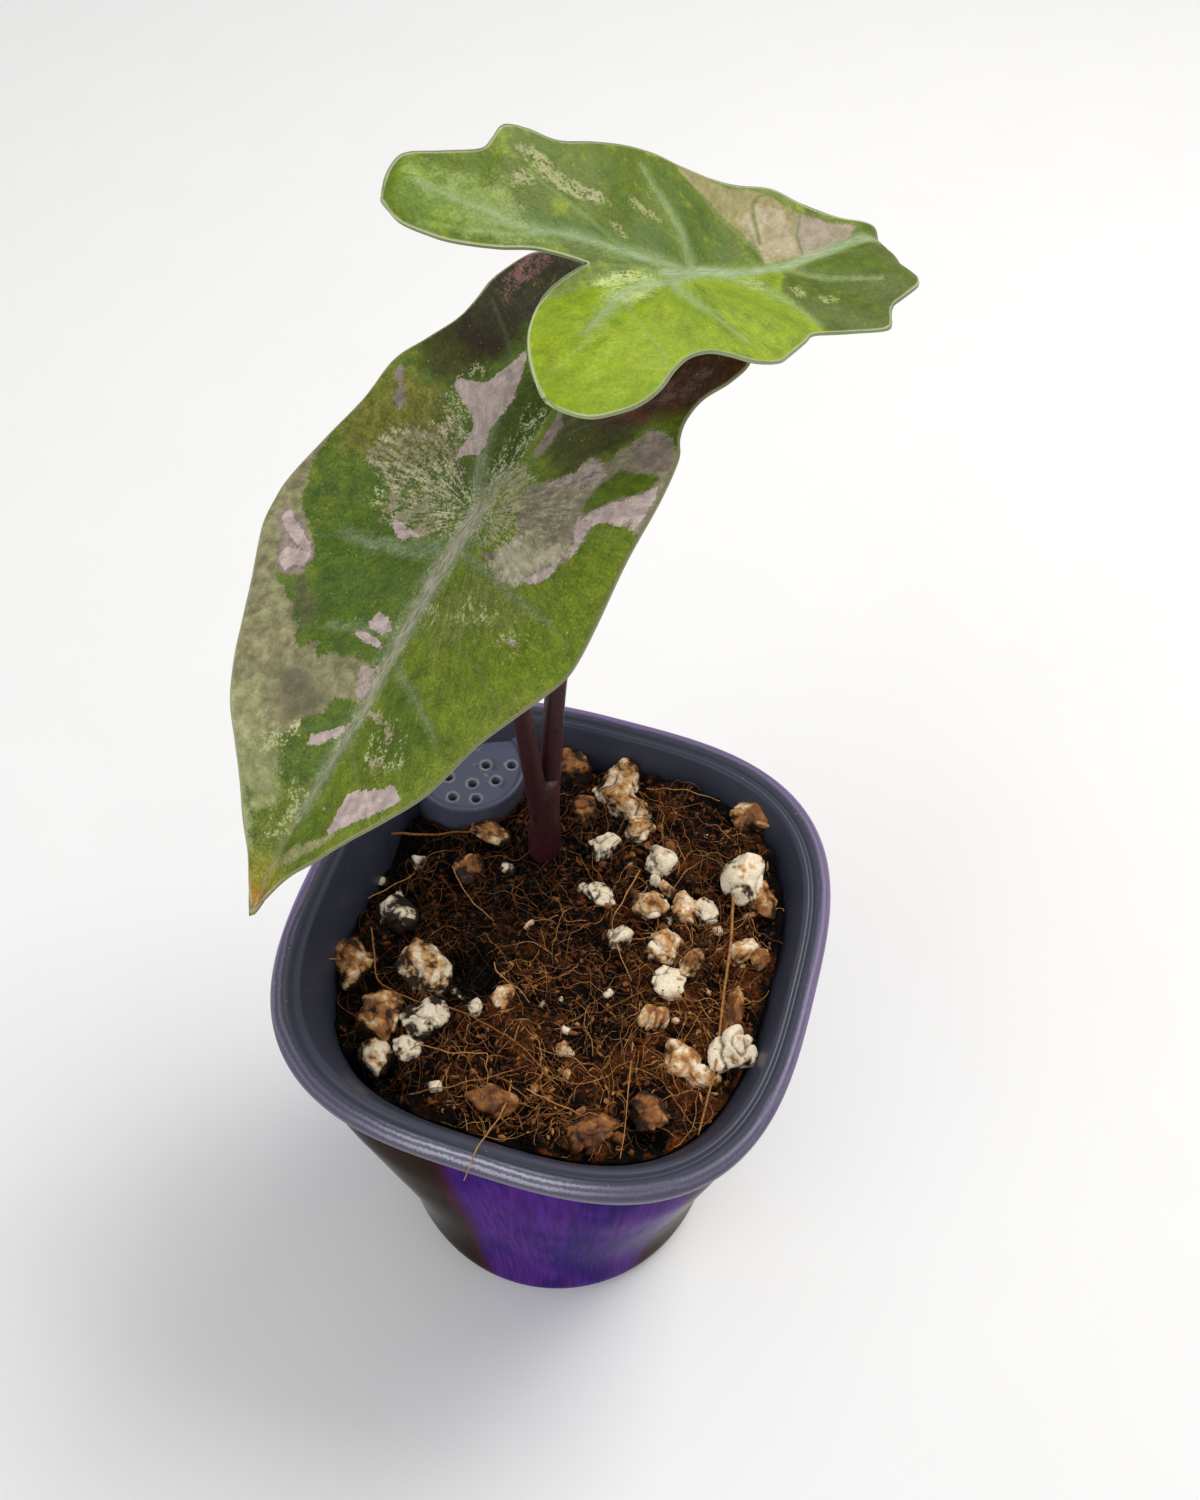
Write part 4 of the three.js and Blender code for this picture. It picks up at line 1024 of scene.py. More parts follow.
UPPER_BLADE = {
    "seat": [2.8, 58.9, 252], "heading": 49, "droop": 19, "roll": 10,
    "bend": [[-42, -32], [0, 0], [37.5, -18.8], [46, 52], [62, 66]], "blend_at": 0, "blend": 6,
    "rise": [16, 12.5], "curl": [0.48, 0.76], "lobe_rise": [20, 20], "lobe_curl": [-0.05, 0.33],
    "veins": 7, "pleat": 0.4, "rib_depth": 0.9, "sinus": [-17.3, 4.2],
    "lobe_edges": [
        [[-42, 24.2], [-41.2, 20.2], [-38.2, 16.4], [-34.8, 13.5], [-29.6, 10.5], [-23.9, 8.3]],
        [[-37, -22], [-36.4, -17.1], [-34.7, -11.3], [-32, -5.6], [-27.6, 0], [-23, 2.5]],
    ],
    "margins": [
        [[-42, 24.2], [-40.3, 27], [-37.7, 29.1], [-35.5, 29.3], [-31.6, 27.8], [-26.2, 26.2],
         [-24, 27.2], [-22, 28.8], [-20.5, 28.9], [-17.8, 27.5], [-13.8, 24.9], [-7, 24.4], [4, 23.9],
         [10, 21.2], [15, 18.4], [19.4, 16.5], [26, 14.5], [30.3, 10.4], [36.4, 5.6], [40.5, 4],
         [45.5, 4], [52, 2.2], [60, -3]],
        [[-37, -22], [-35.8, -25.8], [-33.5, -28.9], [-30.4, -30], [-26.8, -30.1], [-22.9, -28.5],
         [-18.8, -25.3], [-15.1, -23.2], [-11.3, -22.7], [-8.4, -23.8], [-5.6, -25.2], [-2.5, -25.3],
         [1.9, -24.2], [6.1, -22.1], [11.7, -19.3], [14.8, -18], [21.9, -18.9], [28.7, -20.1],
         [30.6, -19.2], [31.7, -17.5], [33.2, -15.9], [35.2, -15.2], [38.2, -14.2], [40.4, -12.8],
         [42.4, -10.4], [45.6, -7.4], [50, -5], [55, -3.4], [60, -3]],
    ],
}
ROWS, COLUMNS = 300, 60
QUILTING = 0.16
RAYS, RAY_STRETCH = 14, 0.2

# Ribs and side veins of each blade: (points, half width at the start, half width at the end).
# The first rib is the midrib.
LOWER_RIBS = [
    ([[-1, -0.4], [15, -0.6], [30, -0.3], [42, 0.5], [54, -0.3], [66, -0.9], [78, 0]], 1.2, 0.15),
    ([[0, 0], [-5, 2.5], [-10, 3.8], [-15, 4.5], [-26, 9.5], [-36, 17], [-42, 25]], 1.0, 0.1),
    ([[0, -0.6], [-5, -3], [-12, -6.8], [-24, -8.8], [-36, -11.5], [-46, -15]], 1.0, 0.1),
]
LOWER_VEINS = [
    ([[7, 0.5], [8, 5], [9.3, 12], [10.8, 19], [12, 27], [14, 33]], 0.35, 0.1),
    ([[29, 0.5], [31.5, 7], [34, 13], [37, 19], [40, 23]], 0.3, 0.1),
    ([[18, 0], [20.5, 8], [23, 17], [26, 25], [29, 29]], 0.12, 0.05),
    ([[44, 0.5], [47, 5], [50.5, 10], [54, 14]], 0.15, 0.05),
    ([[-5.8, 5.4], [-9.5, 9.5], [-11, 13], [-13.5, 17.5], [-15, 21]], 0.3, 0.08),
    ([[-3, 1.5], [-3, 11], [-4, 21], [-5, 31]], 0.15, 0.05),
    ([[-16, 5.4], [-22, 12], [-28, 20], [-32, 27]], 0.2, 0.05),
    ([[8, -1.5], [11, -8], [14, -16], [16.5, -25], [18.5, -33]], 0.15, 0.05),
    ([[24, -1], [27.5, -8], [31, -16], [34, -24], [36, -27]], 0.15, 0.05),
    ([[41, -0.5], [46, -6], [51, -12.5], [54, -16.5]], 0.2, 0.08),
    ([[0, -1.5], [-1, -10], [-1, -20], [-2, -30]], 0.15, 0.05),
    ([[-9, -5.5], [-14, -14], [-17, -22], [-18, -29]], 0.15, 0.05),
    ([[-24, -8.8], [-31, -15], [-36, -22]], 0.15, 0.05),
]
UPPER_RIBS = [
    ([[-4, 0], [4, 0.2], [12, -1.0], [20, -0.9], [28, 0.1], [38, 1.2], [48, 0], [59, -3]], 1.0, 0.15),
    ([[-1, -1], [-4.8, -2.7], [-9.7, -1.9], [-13, -3.3], [-18, -6], [-22.5, -8.8], [-25.8, -12]], 0.95, 0.2),
    ([[-1, 1], [-5, 2], [-9, 4.5], [-15, 7], [-20, 9.8], [-25, 12.5], [-30, 17], [-33, 21], [-36, 24]],
     0.7, 0.15),
]
UPPER_VEINS = [
    ([[-4.8, -2.7], [-4.6, -8], [-3.5, -14], [-3, -20]], 0.7, 0.3),
    ([[1.5, 1], [2, 8], [1.2, 15], [0, 21]], 0.65, 0.2),
    ([[-8, 4], [-12, 8], [-15, 12], [-17, 16], [-19.5, 20], [-20, 24]], 0.4, 0.15),
    ([[-16.4, 4], [-10, 2.4], [-4, 1]], 0.15, 0.1),
    ([[18, 0.5], [14.5, 7], [11.5, 13.5], [9, 20]], 0.3, 0.1),
    ([[20, -1], [27, -6], [35, -10]], 0.5, 0.15),
    ([[7, -1], [12, -5], [15, -10], [17.5, -16]], 0.3, 0.1),
    ([[-16, -5.2], [-17, -12], [-18, -20], [-20, -26]], 0.2, 0.08),
    ([[-25.6, -14], [-30, -16], [-34, -17]], 0.2, 0.08),
    ([[-22, 10.8], [-27, 12], [-33, 15], [-38, 19]], 0.25, 0.08),
]


# What the leaves show. A layer is one patch colour: it lies inside closed outlines of [u, v] or along
# lines like those of the veins, and each later layer lies over the ones before it.

SHEEN = 0.013


def under_sheen(red, green, blue):
    """The base colour of a blade that looks like a screen colour once its sheen is added to it."""
    return (*(max(0.002, part - SHEEN) for part in srgb(red, green, blue)[:3]), 1.0)


def layer(tone, other, outlines=(), lines=(), ragged=0.0, soft=0.15, share=1.0, scatter=1.0,
          calm=False):
    """Two tones that clouds blend between, how many millimetres the edge is ragged and soft, how much of
    the ground the layer hides, the share of its area that it covers as flecks, and whether it is a smooth
    patch, on which the veins' net shows more than the mottling does."""
    return {"tones": (under_sheen(*tone), under_sheen(*other)), "outlines": outlines, "lines": lines,
            "ragged": ragged, "soft": soft, "share": share, "scatter": scatter, "calm": calm}


LOWER_LAYERS = [
    # olive and yellow-green ground, and dark olive painted shade beside both lobes
    layer((138, 132, 66), (104, 106, 42), [
        [[-17, -31], [-2, -34], [2, -28], [0, -20], [-6, -14], [-14, -13], [-17, -20]]],
          ragged=3, soft=2.4, share=0.75),
    # painted shade: dark olive where the upper leaf's shadow fades out beside both lobes
    layer((68, 62, 20), (56, 54, 18), [
        [[-30, 3], [-17, 4], [-12, 9], [-11, 15], [-16, 19], [-20, 22], [-30, 22]],
        [[-30, -30], [-22, -29], [-17, -24], [-18, -18], [-24, -14], [-30, -14]]],
          ragged=3, soft=2.4, share=0.8),
    layer((116, 130, 36), (98, 120, 36), [
        [[-6, 25], [4, 24.5], [12, 28], [16, 36], [-6, 35]],
        [[16, 14], [30, 16], [26, 30], [16, 34], [12, 26]]], ragged=3, soft=3, share=0.7),
    layer((130, 136, 58), (106, 122, 46), [
        [[56, -8], [70, -6], [80, 0], [66, 3], [54, 3]],
        [[22, 30], [36, 24], [48, 20], [60, 10], [60, 13], [48, 23], [36, 28], [24, 34]]],
          ragged=2, soft=2, share=0.6),
    layer((134, 140, 76), (112, 122, 56), [
        [[8, 8], [14, 5], [22, 2.4], [25, 8], [19, 14], [17, 22], [12, 23], [10, 14]]],
          ragged=3, soft=2.5, share=0.6),
    # dark green: beside the left lobe's rib, around the midrib's upper half, at the left
    layer((66, 80, 36), (80, 92, 42), [
        [[-26, -7.8], [-12, -6.4], [-6, -3], [-2, -0.6], [-8, 1], [-26, 1]],
        [[-9, -9], [-3, -8], [2, -2], [-2, -1], [-8, -6]]], ragged=1, soft=1, share=0.8),
    layer((66, 92, 30), (78, 102, 34), [
        [[20, -22], [30, -16], [30, -6], [22, -8], [14, -4], [6, -8], [8, -20], [16, -24]],
        [[34, -15.5], [39, -15.5], [40, -10], [42, -6], [36, -6], [33, -10]],
        [[33, 3], [46, 5], [48, 9], [46, 14], [36, 22], [33, 12]],
        [[57, 1.5], [66, 1], [62, 6], [57, 7]]], ragged=3, soft=2.5, share=0.6),
    # teal bloom along the main veins with a painted sheen in it, and blue-green painted sheens
    layer((142, 150, 118), (116, 132, 90), lines=[
        ([[0, 0], [15, -0.6], [30, -0.3], [42, 0.5], [60, -0.6]], 3.0, 1.4),
        ([[7, 0.5], [8, 5], [9.3, 12], [10.8, 19], [12, 27]], 0.9, 0.2),
        ([[29, 0.5], [31.5, 7], [34, 13], [37, 19]], 0.8, 0.2),
        ([[0, -0.6], [-5, -3], [-12, -6.8], [-22, -8.6]], 1.6, 0.8),
        ([[8, -2], [11, -8], [13, -14], [14, -20]], 2.0, 1.0),
        ([[24, -2], [27.5, -9], [29, -13]], 1.4, 0.6)], ragged=0.8, soft=1.3, share=0.65),
    # sage along the left margin, its grey heart, and a paler strip at its tip
    layer((162, 158, 120), (128, 121, 90), [
        [[-6, -36], [0, -33], [6.5, -33], [9, -31.5], [12, -31.5], [13.5, -30], [15, -28], [16, -26.5],
         [17.5, -24.5], [18.5, -23], [20, -22.7], [23, -23], [24.5, -25.5], [26, -27], [27, -26.5], [28, -24],
         [29, -22], [31, -20], [32.5, -18], [34.5, -17.5], [35, -15.5], [33, -14.5], [32.7, -13],
         [35, -12.3], [35, -11.5], [33, -9.5], [32, -6], [31, -3], [33, -1], [38, -0.6], [39.5, -5.7],
         [42, -5.5], [44, -7], [45.5, -9], [48, -10], [50, -11], [50.5, -12.5], [52, -14], [55, -16],
         [58, -18], [50, -26], [38, -32], [20, -38]]], calm=True, ragged=0.8, soft=0.35, share=0.94),
    layer((92, 86, 68), (106, 98, 78), [
        [[38, -14], [40, -7], [44, -7.5], [47, -10], [45, -15], [40, -17]],
        [[26, -24], [29, -21], [32, -17], [28, -17], [24, -22]]], calm=True, ragged=2, soft=2, share=0.7),
    layer((172, 172, 130), (142, 146, 94), [
        [[45, -26], [56, -20], [60, -12], [64, -8], [60, -5.6], [52, -9], [50, -14], [44, -19]],
        [[56, -17.5], [62, -13], [70, -6.5], [69, -5], [61, -11], [55, -15.5]]],
          calm=True, ragged=1.2, soft=0.8, share=0.7),
    # tan grey in the right lobe, with a green island
    layer((158, 150, 124), (130, 120, 102), [
        [[-7.5, 6], [-6, 7.5], [-3, 8.6], [-0.5, 9.6], [0, 11], [1, 11.3], [2.5, 10.8], [4, 9], [5, 7.5],
         [6, 5], [6.6, 7], [7.5, 10], [8.3, 11], [9.5, 13], [9, 16], [8.6, 17.5], [7, 18.5], [6, 19.5],
         [4, 22.5], [2, 24.5], [0, 24.6], [-3, 24.8], [-6, 24.5], [-6.5, 27], [-7, 30], [-6, 35], [-14, 35],
         [-18, 33], [-21, 31.5], [-23.5, 29], [-24, 27], [-23.5, 23.5], [-21, 22], [-19, 20.5], [-17, 20.5],
         [-15.5, 20], [-16.2, 18], [-15.5, 16.5], [-13, 15.5], [-11, 13], [-10, 10.5], [-9, 8.5]]],
          calm=True, ragged=0.7, soft=0.25),
    layer((204, 196, 172), (174, 168, 138), [
        [[1, 11.4], [5, 8.4], [7, 10.4], [9, 13.4], [8.6, 17], [5, 21], [2, 23.4], [-1, 23], [2, 17]]],
          calm=True, ragged=1.6, soft=1.2, share=0.75),
    layer((184, 176, 148), (148, 146, 108), [
        [[-12, 1.4], [-4, 3], [4, 4], [6, 5], [1, 9], [-5, 8.6], [-10, 6.4]]],
          ragged=1.6, soft=0.8, share=0.8, scatter=0.72),
    layer((82, 100, 30), (100, 116, 36), [
        [[-15.5, 23.5], [-13, 22.5], [-11, 21.3], [-8, 20.6], [-6.6, 21], [-6.5, 22], [-8, 23.5], [-10, 26],
         [-12, 28.5], [-14, 30.5], [-16.5, 31], [-17, 30], [-16, 27], [-15.5, 25]]], ragged=0.8, soft=0.3),
    layer((168, 162, 122), (150, 150, 96), [
        [[63.5, 4], [66, 1.3], [69.5, -0.6], [71.5, -0.8], [69, 2], [65, 5.5], [60, 9.5], [58, 10.5]]],
          ragged=0.8, soft=0.5, share=0.85),
    # the broken mauve and sage ground left of the junction
    layer((174, 158, 142), (132, 130, 98), [
        [[-14, -13], [-9, -18], [-6, -24], [1, -24], [3, -17], [9, -16], [9, -8], [3, -3], [-3, -5.4],
         [-8, -9]]],
          ragged=2.2, soft=0.8, share=0.8, scatter=0.66),
    # flecks: cream where the patches end, dense and sparse
    layer((194, 190, 152), (156, 160, 108), [
        [[-24, -17], [-20, -18], [-10, -17], [-10, -10], [-16, -10], [-20, -14], [-24, -14]],
        [[-7, -24.5], [-3, -24.5], [-3, -20.5], [-7, -20.5]],
        [[-4, -16], [0, -21], [3, -18], [4, -12], [0, -9], [-5, -10]],
        [[4.5, -19], [7, -19], [7, -16], [4.5, -16]],
        [[45, -8], [51, -14], [54, -14], [53, -10], [47, -6]],
        [[55.5, -5], [66, -5], [66, -1], [56, -0.6]]], ragged=1.5, soft=0.8, share=0.85, scatter=0.36),
    layer((194, 190, 150), (154, 158, 108), [
        [[16, 1], [20, 1], [21, 5], [16, 5]],
        [[13, 8], [18, 8], [19, 16], [14, 17]],
        [[16, 20], [19, 20], [19.5, 25], [16, 26]],
        [[38, 3], [46, 7], [50, 11], [46, 13], [42, 18], [38, 12]],
        [[-8, 8], [8, 8], [8, 19], [-8, 19]]], ragged=1.5, soft=0.8, share=0.8, scatter=0.24),
    layer((196, 196, 158), (160, 166, 118), [
        [[-5, -4], [0, -5], [5, -3], [5, 2.4], [0, 4], [-5, 2.4]],
        [[-6, -10], [3, -9], [6, -3], [-2, -3]],
        [[-22, -3], [-6, -2.6], [-6, 1.6], [-22, 1]]], ragged=1.5, soft=1.2, share=0.85, scatter=0.4),
    layer((176, 176, 132), (150, 158, 104), lines=[
        ([[2, -0.5], [30, -0.3], [52, 0]], 2.4, 1.0)], ragged=1.2, soft=0.8, share=0.6, scatter=0.25),
    layer((184, 178, 156), (156, 156, 126), lines=[
        ([[-8, 0.4], [-2, -0.4], [6, -0.6], [14, -0.6]], 2.0, 1.2)], ragged=1.4, soft=1.0, share=0.6),
    # mauve: pink in the shade or half covered by green
    layer((156, 138, 132), (134, 118, 112), [
        [[-17.5, -29], [-15, -29], [-13.5, -26.5], [-10.5, -26], [-10, -24], [-11, -23], [-13, -24.5],
         [-14.5, -26.5], [-16.5, -27]],
        [[-24, 24], [-20.5, 22.6], [-17, 24.5], [-17.6, 29.5], [-18, 32], [-23, 29]],
        [[-24, 2.6], [-17, 3.2], [-13, 3.6], [-14, 5.6], [-20, 6.4]],
        [[14.6, -33.4], [17.6, -33.8], [19, -31], [21.6, -29.6], [24.6, -28.6], [25.6, -25.6], [23.4, -22.4],
         [19.8, -22.4], [17, -26], [15, -29.4]]], calm=True, ragged=0.8, soft=0.3, share=0.85),
    layer((186, 166, 160), (166, 148, 142), [
        [[-16, 17.5], [-14, 16], [-12, 14.5], [-11, 12], [-10, 10.5], [-9, 9.5], [-8.5, 11], [-9.5, 14],
         [-10, 18], [-10.5, 21], [-14, 21.6]],
        [[30.5, -1], [33, -4.5], [36, -3.8], [38, -2.2], [38, -0.6], [34, -0.2]],
        [[58.5, -1.5], [60, -2.2], [59.5, -0.8]],
        [[55.5, 3.5], [57, 3.7], [57, 4.5], [55.6, 4.4]],
        [[17, 21.4], [18, 22], [18, 25], [17.2, 24.6]]], ragged=0.9, soft=0.15, share=0.85, scatter=0.75),
    layer((178, 162, 138), (150, 142, 108), [
        [[38.5, 1.5], [39.5, 2.5], [40, 6], [40.3, 8], [42, 8.8], [41.5, 10.5], [40, 10.8], [39.3, 8],
         [38, 5]],
        [[44.5, 8], [47.5, 9], [47.5, 11.5], [45, 11]]], ragged=0.9, soft=0.2, share=0.85, scatter=0.7),
    # clean pink
    layer((198, 180, 176), (178, 158, 152), [
        [[-30.5, -10.3], [-27, -11.5], [-24, -12.2], [-22, -12], [-21, -13.5], [-20, -16], [-19.5, -18],
         [-18.5, -17.5], [-17.5, -16.5], [-16.5, -14.5], [-15.8, -13], [-14.8, -11], [-13, -10], [-10, -10],
         [-8, -9.8], [-6.5, -9.5], [-6.5, -9], [-8, -7.8], [-9, -6.5], [-10.5, -5.8], [-12, -6.2],
         [-14, -7], [-17, -6.6], [-20, -6.2], [-23, -6.8], [-26, -8], [-29, -9.5]],
        [[7.5, -12.8], [8.5, -13.6], [9.8, -11.6], [10.4, -10.4], [10.6, -9.2], [9, -8.8], [8.2, -7.6],
         [7.6, -9.6]],
        [[14.8, -32.6], [17, -32.8], [18.2, -31], [19.4, -27.5], [20, -26], [20.2, -23.2], [18.5, -24],
         [17.6, -26.5], [16, -29]],
        [[20, -25.5], [21, -28], [22.5, -28.8], [24, -28], [24.8, -26], [23.2, -25], [22.6, -23],
         [20.5, -23]],
        [[22.6, -6.8], [24, -7.4], [26, -7], [26.6, -6], [26.2, -4.4], [24.6, -2.6], [23.4, -4]],
        [[27.2, -7.4], [28, -8.6], [28.8, -8], [29, -5.6], [28.4, -2.6], [27, -4.4]],
        [[41.5, -0.6], [44, -2.6], [47, -6], [49, -5.6], [48, -3.6], [45, -1.8], [42.5, -0.4]],
        [[-6, 22.5], [-5, 24], [-6, 25.5], [-6.5, 27], [-6, 28.5], [-7, 30], [-8.5, 31], [-5.5, 32],
         [-9, 32.8], [-13, 32.6], [-15, 31.5], [-13, 30], [-11, 28], [-9.5, 25.5], [-8, 24], [-7, 22.5]],
        [[3.5, 23.8], [3, 22.5], [5, 20.5], [6.5, 18.5], [7.5, 18], [7.8, 19.5], [7, 21.5], [5.5, 23]],
        [[-6, 20.5], [-3, 22], [0, 23.8], [2, 24.3], [0, 24.8], [-3, 24.4], [-5.5, 24]],
        [[47, 15.5], [48.5, 14], [50, 11.5], [51, 9.5], [52.5, 8.3], [55, 8], [59, 7.5], [60, 8.3],
         [57.5, 11], [54, 14.5], [51, 17.5], [48, 19.8], [47.6, 17.5]]], calm=True, ragged=0.75, soft=0.08),
    # the tip, and the lobes in the upper leaf's shade
    layer((154, 148, 54), (148, 144, 62), [[[69, -5], [80, -4], [80, 4], [69, 3]]],
          ragged=1, soft=2, share=0.75),
    layer((176, 132, 54), (160, 120, 50), [[[74, -5], [82, -4], [82, 4], [74, 4]]],
          ragged=0.5, soft=1, share=0.9),
    layer((54, 36, 8), (40, 24, 6), [
        [[-60, -30], [-33, -30], [-26, -24], [-24, -17], [-27, -13], [-34, -12], [-34, 0], [-60, 0]]],
          ragged=2.5, soft=2.6, share=0.86),
    layer((98, 56, 24), (74, 38, 14), [
        [[-60, 2], [-30, 6], [-24, 8], [-22, 14], [-24, 21], [-30, 33], [-60, 36]]],
          ragged=2, soft=2.3, share=0.92),
    layer((126, 92, 92), (100, 70, 68), [
        [[-50, -20], [-45, -22.6], [-38, -23], [-37, -19.5], [-43, -18.6], [-47, -17]],
        [[-38, 22], [-31, 20], [-28, 23], [-32, 28], [-38, 27]],
        [[-34, 12], [-28, 10], [-26, 14], [-31, 17]]], ragged=1.6, soft=0.6, share=0.8, scatter=0.6),
]
UPPER_LAYERS = [
    # the near lobe's lime and yellow, the far half's darker ground beside its veins
    layer((166, 186, 66), (140, 164, 40), [
        [[-36, -28], [-20, -32], [-8, -26], [-12, -14], [-22, -12], [-32, -16]],
        [[-2, -22], [6, -22], [4, -14], [-2, -12]]], ragged=4, soft=4, share=0.6),
    layer((112, 142, 34), (122, 150, 38), lines=[
        ([[-35, -20], [-34, -26], [-29, -29.4], [-22, -27.6]], 1.2, 0.8),
        ([[-8, -12], [-12, -18], [-14, -22.4]], 1.4, 1.0),
        ([[5, -7], [10, -12], [13, -16.6]], 1.8, 1.4)], ragged=2, soft=2.4, share=0.6),
    layer((70, 98, 24), (82, 110, 28), lines=[
        ([[-9, 6.5], [-15, 9], [-25, 15]], 1.8, 1.2),
        ([[4.5, 4], [4.5, 12], [3.5, 20]], 1.6, 1.2),
        ([[-3, 4], [-6, 10], [-8, 18]], 1.8, 1.4),
        ([[10, 3], [9, 10], [7, 17]], 1.6, 1.2)], ragged=1.5, soft=1.6, share=0.78),
    layer((130, 158, 66), (116, 146, 52), [
        [[-42, 24], [-38, 17], [-30, 12], [-22, 9], [-24, 14], [-30, 22], [-36, 29]]],
          ragged=2, soft=2, share=0.6),
    layer((172, 186, 118), (142, 162, 82), [
        [[-33, 14], [-29, 11], [-25, 11], [-24, 16], [-27, 22], [-32, 24], [-37, 27], [-35, 20]]],
          ragged=3.2, soft=2.2, share=0.5),
    # the grey-green near side towards the tip
    layer((92, 106, 32), (72, 88, 16), [
        [[17.5, -19], [16.5, -12], [15, -7], [20, -2], [26, -0.8], [40, 0.5], [62, -2], [60, -12], [44, -14],
         [34, -17], [28, -22]]], ragged=1.2, soft=0.6, share=0.9),
    layer((98, 122, 28), (90, 112, 24), [
        [[20, -3.4], [28, -3.4], [36, -4.6], [38, -8], [30, -7], [24, -5.6]]], ragged=1.2, soft=1, share=0.7),
    layer((140, 156, 98), (128, 146, 80), lines=[([[20, -2], [27, -6.5], [35, -10]], 0.8, 0.4)],
          ragged=0.5, soft=0.7, share=0.7),
    # pale haze along the near lobe's rib and veins
    layer((212, 220, 156), (184, 202, 118), [
        [[-19, -4.6], [-15, -7.4], [-12.4, -6.6], [-9, -3.6], [-6.8, -3], [-6.6, 0.6], [-10, 1.4], [-14, 2],
         [-18, 0.6], [-17, -2]]], ragged=1.4, soft=1, share=0.75, scatter=0.8),
    layer((152, 170, 122), (138, 160, 98), lines=[
        ([[-1, -1], [-9.7, -1.9], [-18, -6], [-25.8, -12]], 2.4, 1.2),
        ([[-4.8, -2.7], [-4.6, -8], [-3.5, -14], [-3, -20]], 1.8, 0.8),
        ([[1.5, 1], [2, 8], [1.2, 15], [0, 21]], 1.5, 0.6),
        ([[0, 0], [12, -1], [28, 0], [40, 1]], 2.0, 0.8),
        ([[7, -1], [12, -5], [15, -10], [17.5, -16]], 1.2, 0.5),
        ([[-1, 1], [-15, 7], [-25, 12.5], [-36, 24]], 1.6, 0.8)], ragged=0.8, soft=1.3, share=0.5),
    # the cream and pink sector: olive beyond it, tan below, cream in the middle, mauve towards the tip
    layer((122, 134, 62), (112, 126, 58), [
        [[12, 20.5], [13, 17], [17, 13], [22, 13.4], [25, 13], [27, 10.5], [31, 12], [24, 17], [15, 20]]],
          ragged=1, soft=0.8, share=0.8),
    layer((160, 150, 102), (146, 138, 84), [
        [[17.5, 1], [16, 5], [14, 9.5], [12, 14], [9.5, 18], [8.5, 21], [11, 20.5], [13, 19], [15, 17.5],
         [18, 15.8], [20, 15.3], [22, 14.8], [25, 13], [27, 10.5], [30, 8.5], [33, 5.5], [36, 4], [38, 3],
         [35, 1.5], [30, 0.8], [25, 0.5], [18, 0.8]]], calm=True, ragged=0.6, soft=0.25),
    layer((192, 178, 150), (168, 156, 120), [
        [[17.6, 1.4], [16.4, 6], [15.6, 9], [18, 10.4], [22, 11.4], [26, 10], [26, 5], [26, 0.8]]],
          ragged=1.2, soft=0.8, share=0.9),
    layer((172, 156, 140), (152, 140, 118), [
        [[25.5, 0.8], [26.5, 6], [28, 8.6], [31, 7.6], [34, 5], [38, 3], [34, 1.4]]],
          ragged=0.8, soft=0.6, share=0.9),
    # painted shade: dark olive lines along the two creases at the sector's edges, where the blade folds
    layer((112, 118, 48), (100, 110, 44), lines=[
        ([[17.8, 4.5], [19, 9], [20.5, 12], [22.5, 13.3], [25, 13.5]], 0.45, 0.3),
        ([[25.5, 1], [26.5, 5], [28.5, 7.5], [29.5, 9]], 0.35, 0.2)], ragged=0.3, soft=0.3, share=0.75),
    # cream streaks and flecks
    layer((184, 180, 134), (166, 166, 112), [
        [[-21, 25], [-19.5, 21], [-17, 17.4], [-14.8, 15], [-12.4, 13.6], [-9.6, 12.8], [-10.6, 15],
         [-14, 17.6], [-16, 20.4], [-18.4, 25]],
        [[-5.4, 13.4], [-4.4, 11.6], [-1.2, 9.2], [-0.9, 11], [-3.4, 13.6], [-5, 14.8]],
        [[-11.4, 10.6], [-9.6, 8], [-8.4, 7.2], [-9, 9.8]],
        [[-24, 19], [-20, 19], [-20, 21.4], [-24, 21]],
        [[-24, 15], [-23, 15], [-23, 16], [-24, 16]]], ragged=1, soft=0.5, share=0.75, scatter=0.62),
    layer((178, 184, 116), (164, 176, 96), [
        [[17, -9.4], [19, -9.4], [19, -6.6], [17, -6.6]],
        [[10, -5.8], [13.4, -5.8], [13.4, -2.8], [10, -2.8]],
        [[21, -12.4], [24, -12.4], [24, -10.4], [21, -10.4]]], ragged=1, soft=0.4, share=0.7, scatter=0.6),
]


def midrib(blade, u):
    """Run, height and slope of the midrib at u: its bend summed in short steps from the stalk."""
    step = 0.05
    fine = np.arange(-60, 90.01, step)
    stations, turns = np.array(blade["bend"], float).T
    slope = np.radians(np.interp(fine, stations, turns))
    run = np.cumsum(np.cos(slope)) * step
    height = -np.cumsum(np.sin(slope)) * step
    start = np.searchsorted(fine, 0)
    return (np.interp(u, fine, run - run[start]), np.interp(u, fine, height - height[start]),
            np.interp(u, fine, slope))


def blade_axes(blade):
    """Directions along the midrib, out to the +v side, and up from the upper face."""
    heading, droop, roll = (math.radians(blade[key]) for key in ("heading", "droop", "roll"))
    along = np.array([math.cos(droop) * math.cos(heading), math.cos(droop) * math.sin(heading),
                      -math.sin(droop)])
    level = np.array([-math.sin(heading), math.cos(heading), 0])
    across = level * math.cos(roll) + np.cross(along, level) * math.sin(roll)
    return along, across, np.cross(along, across)


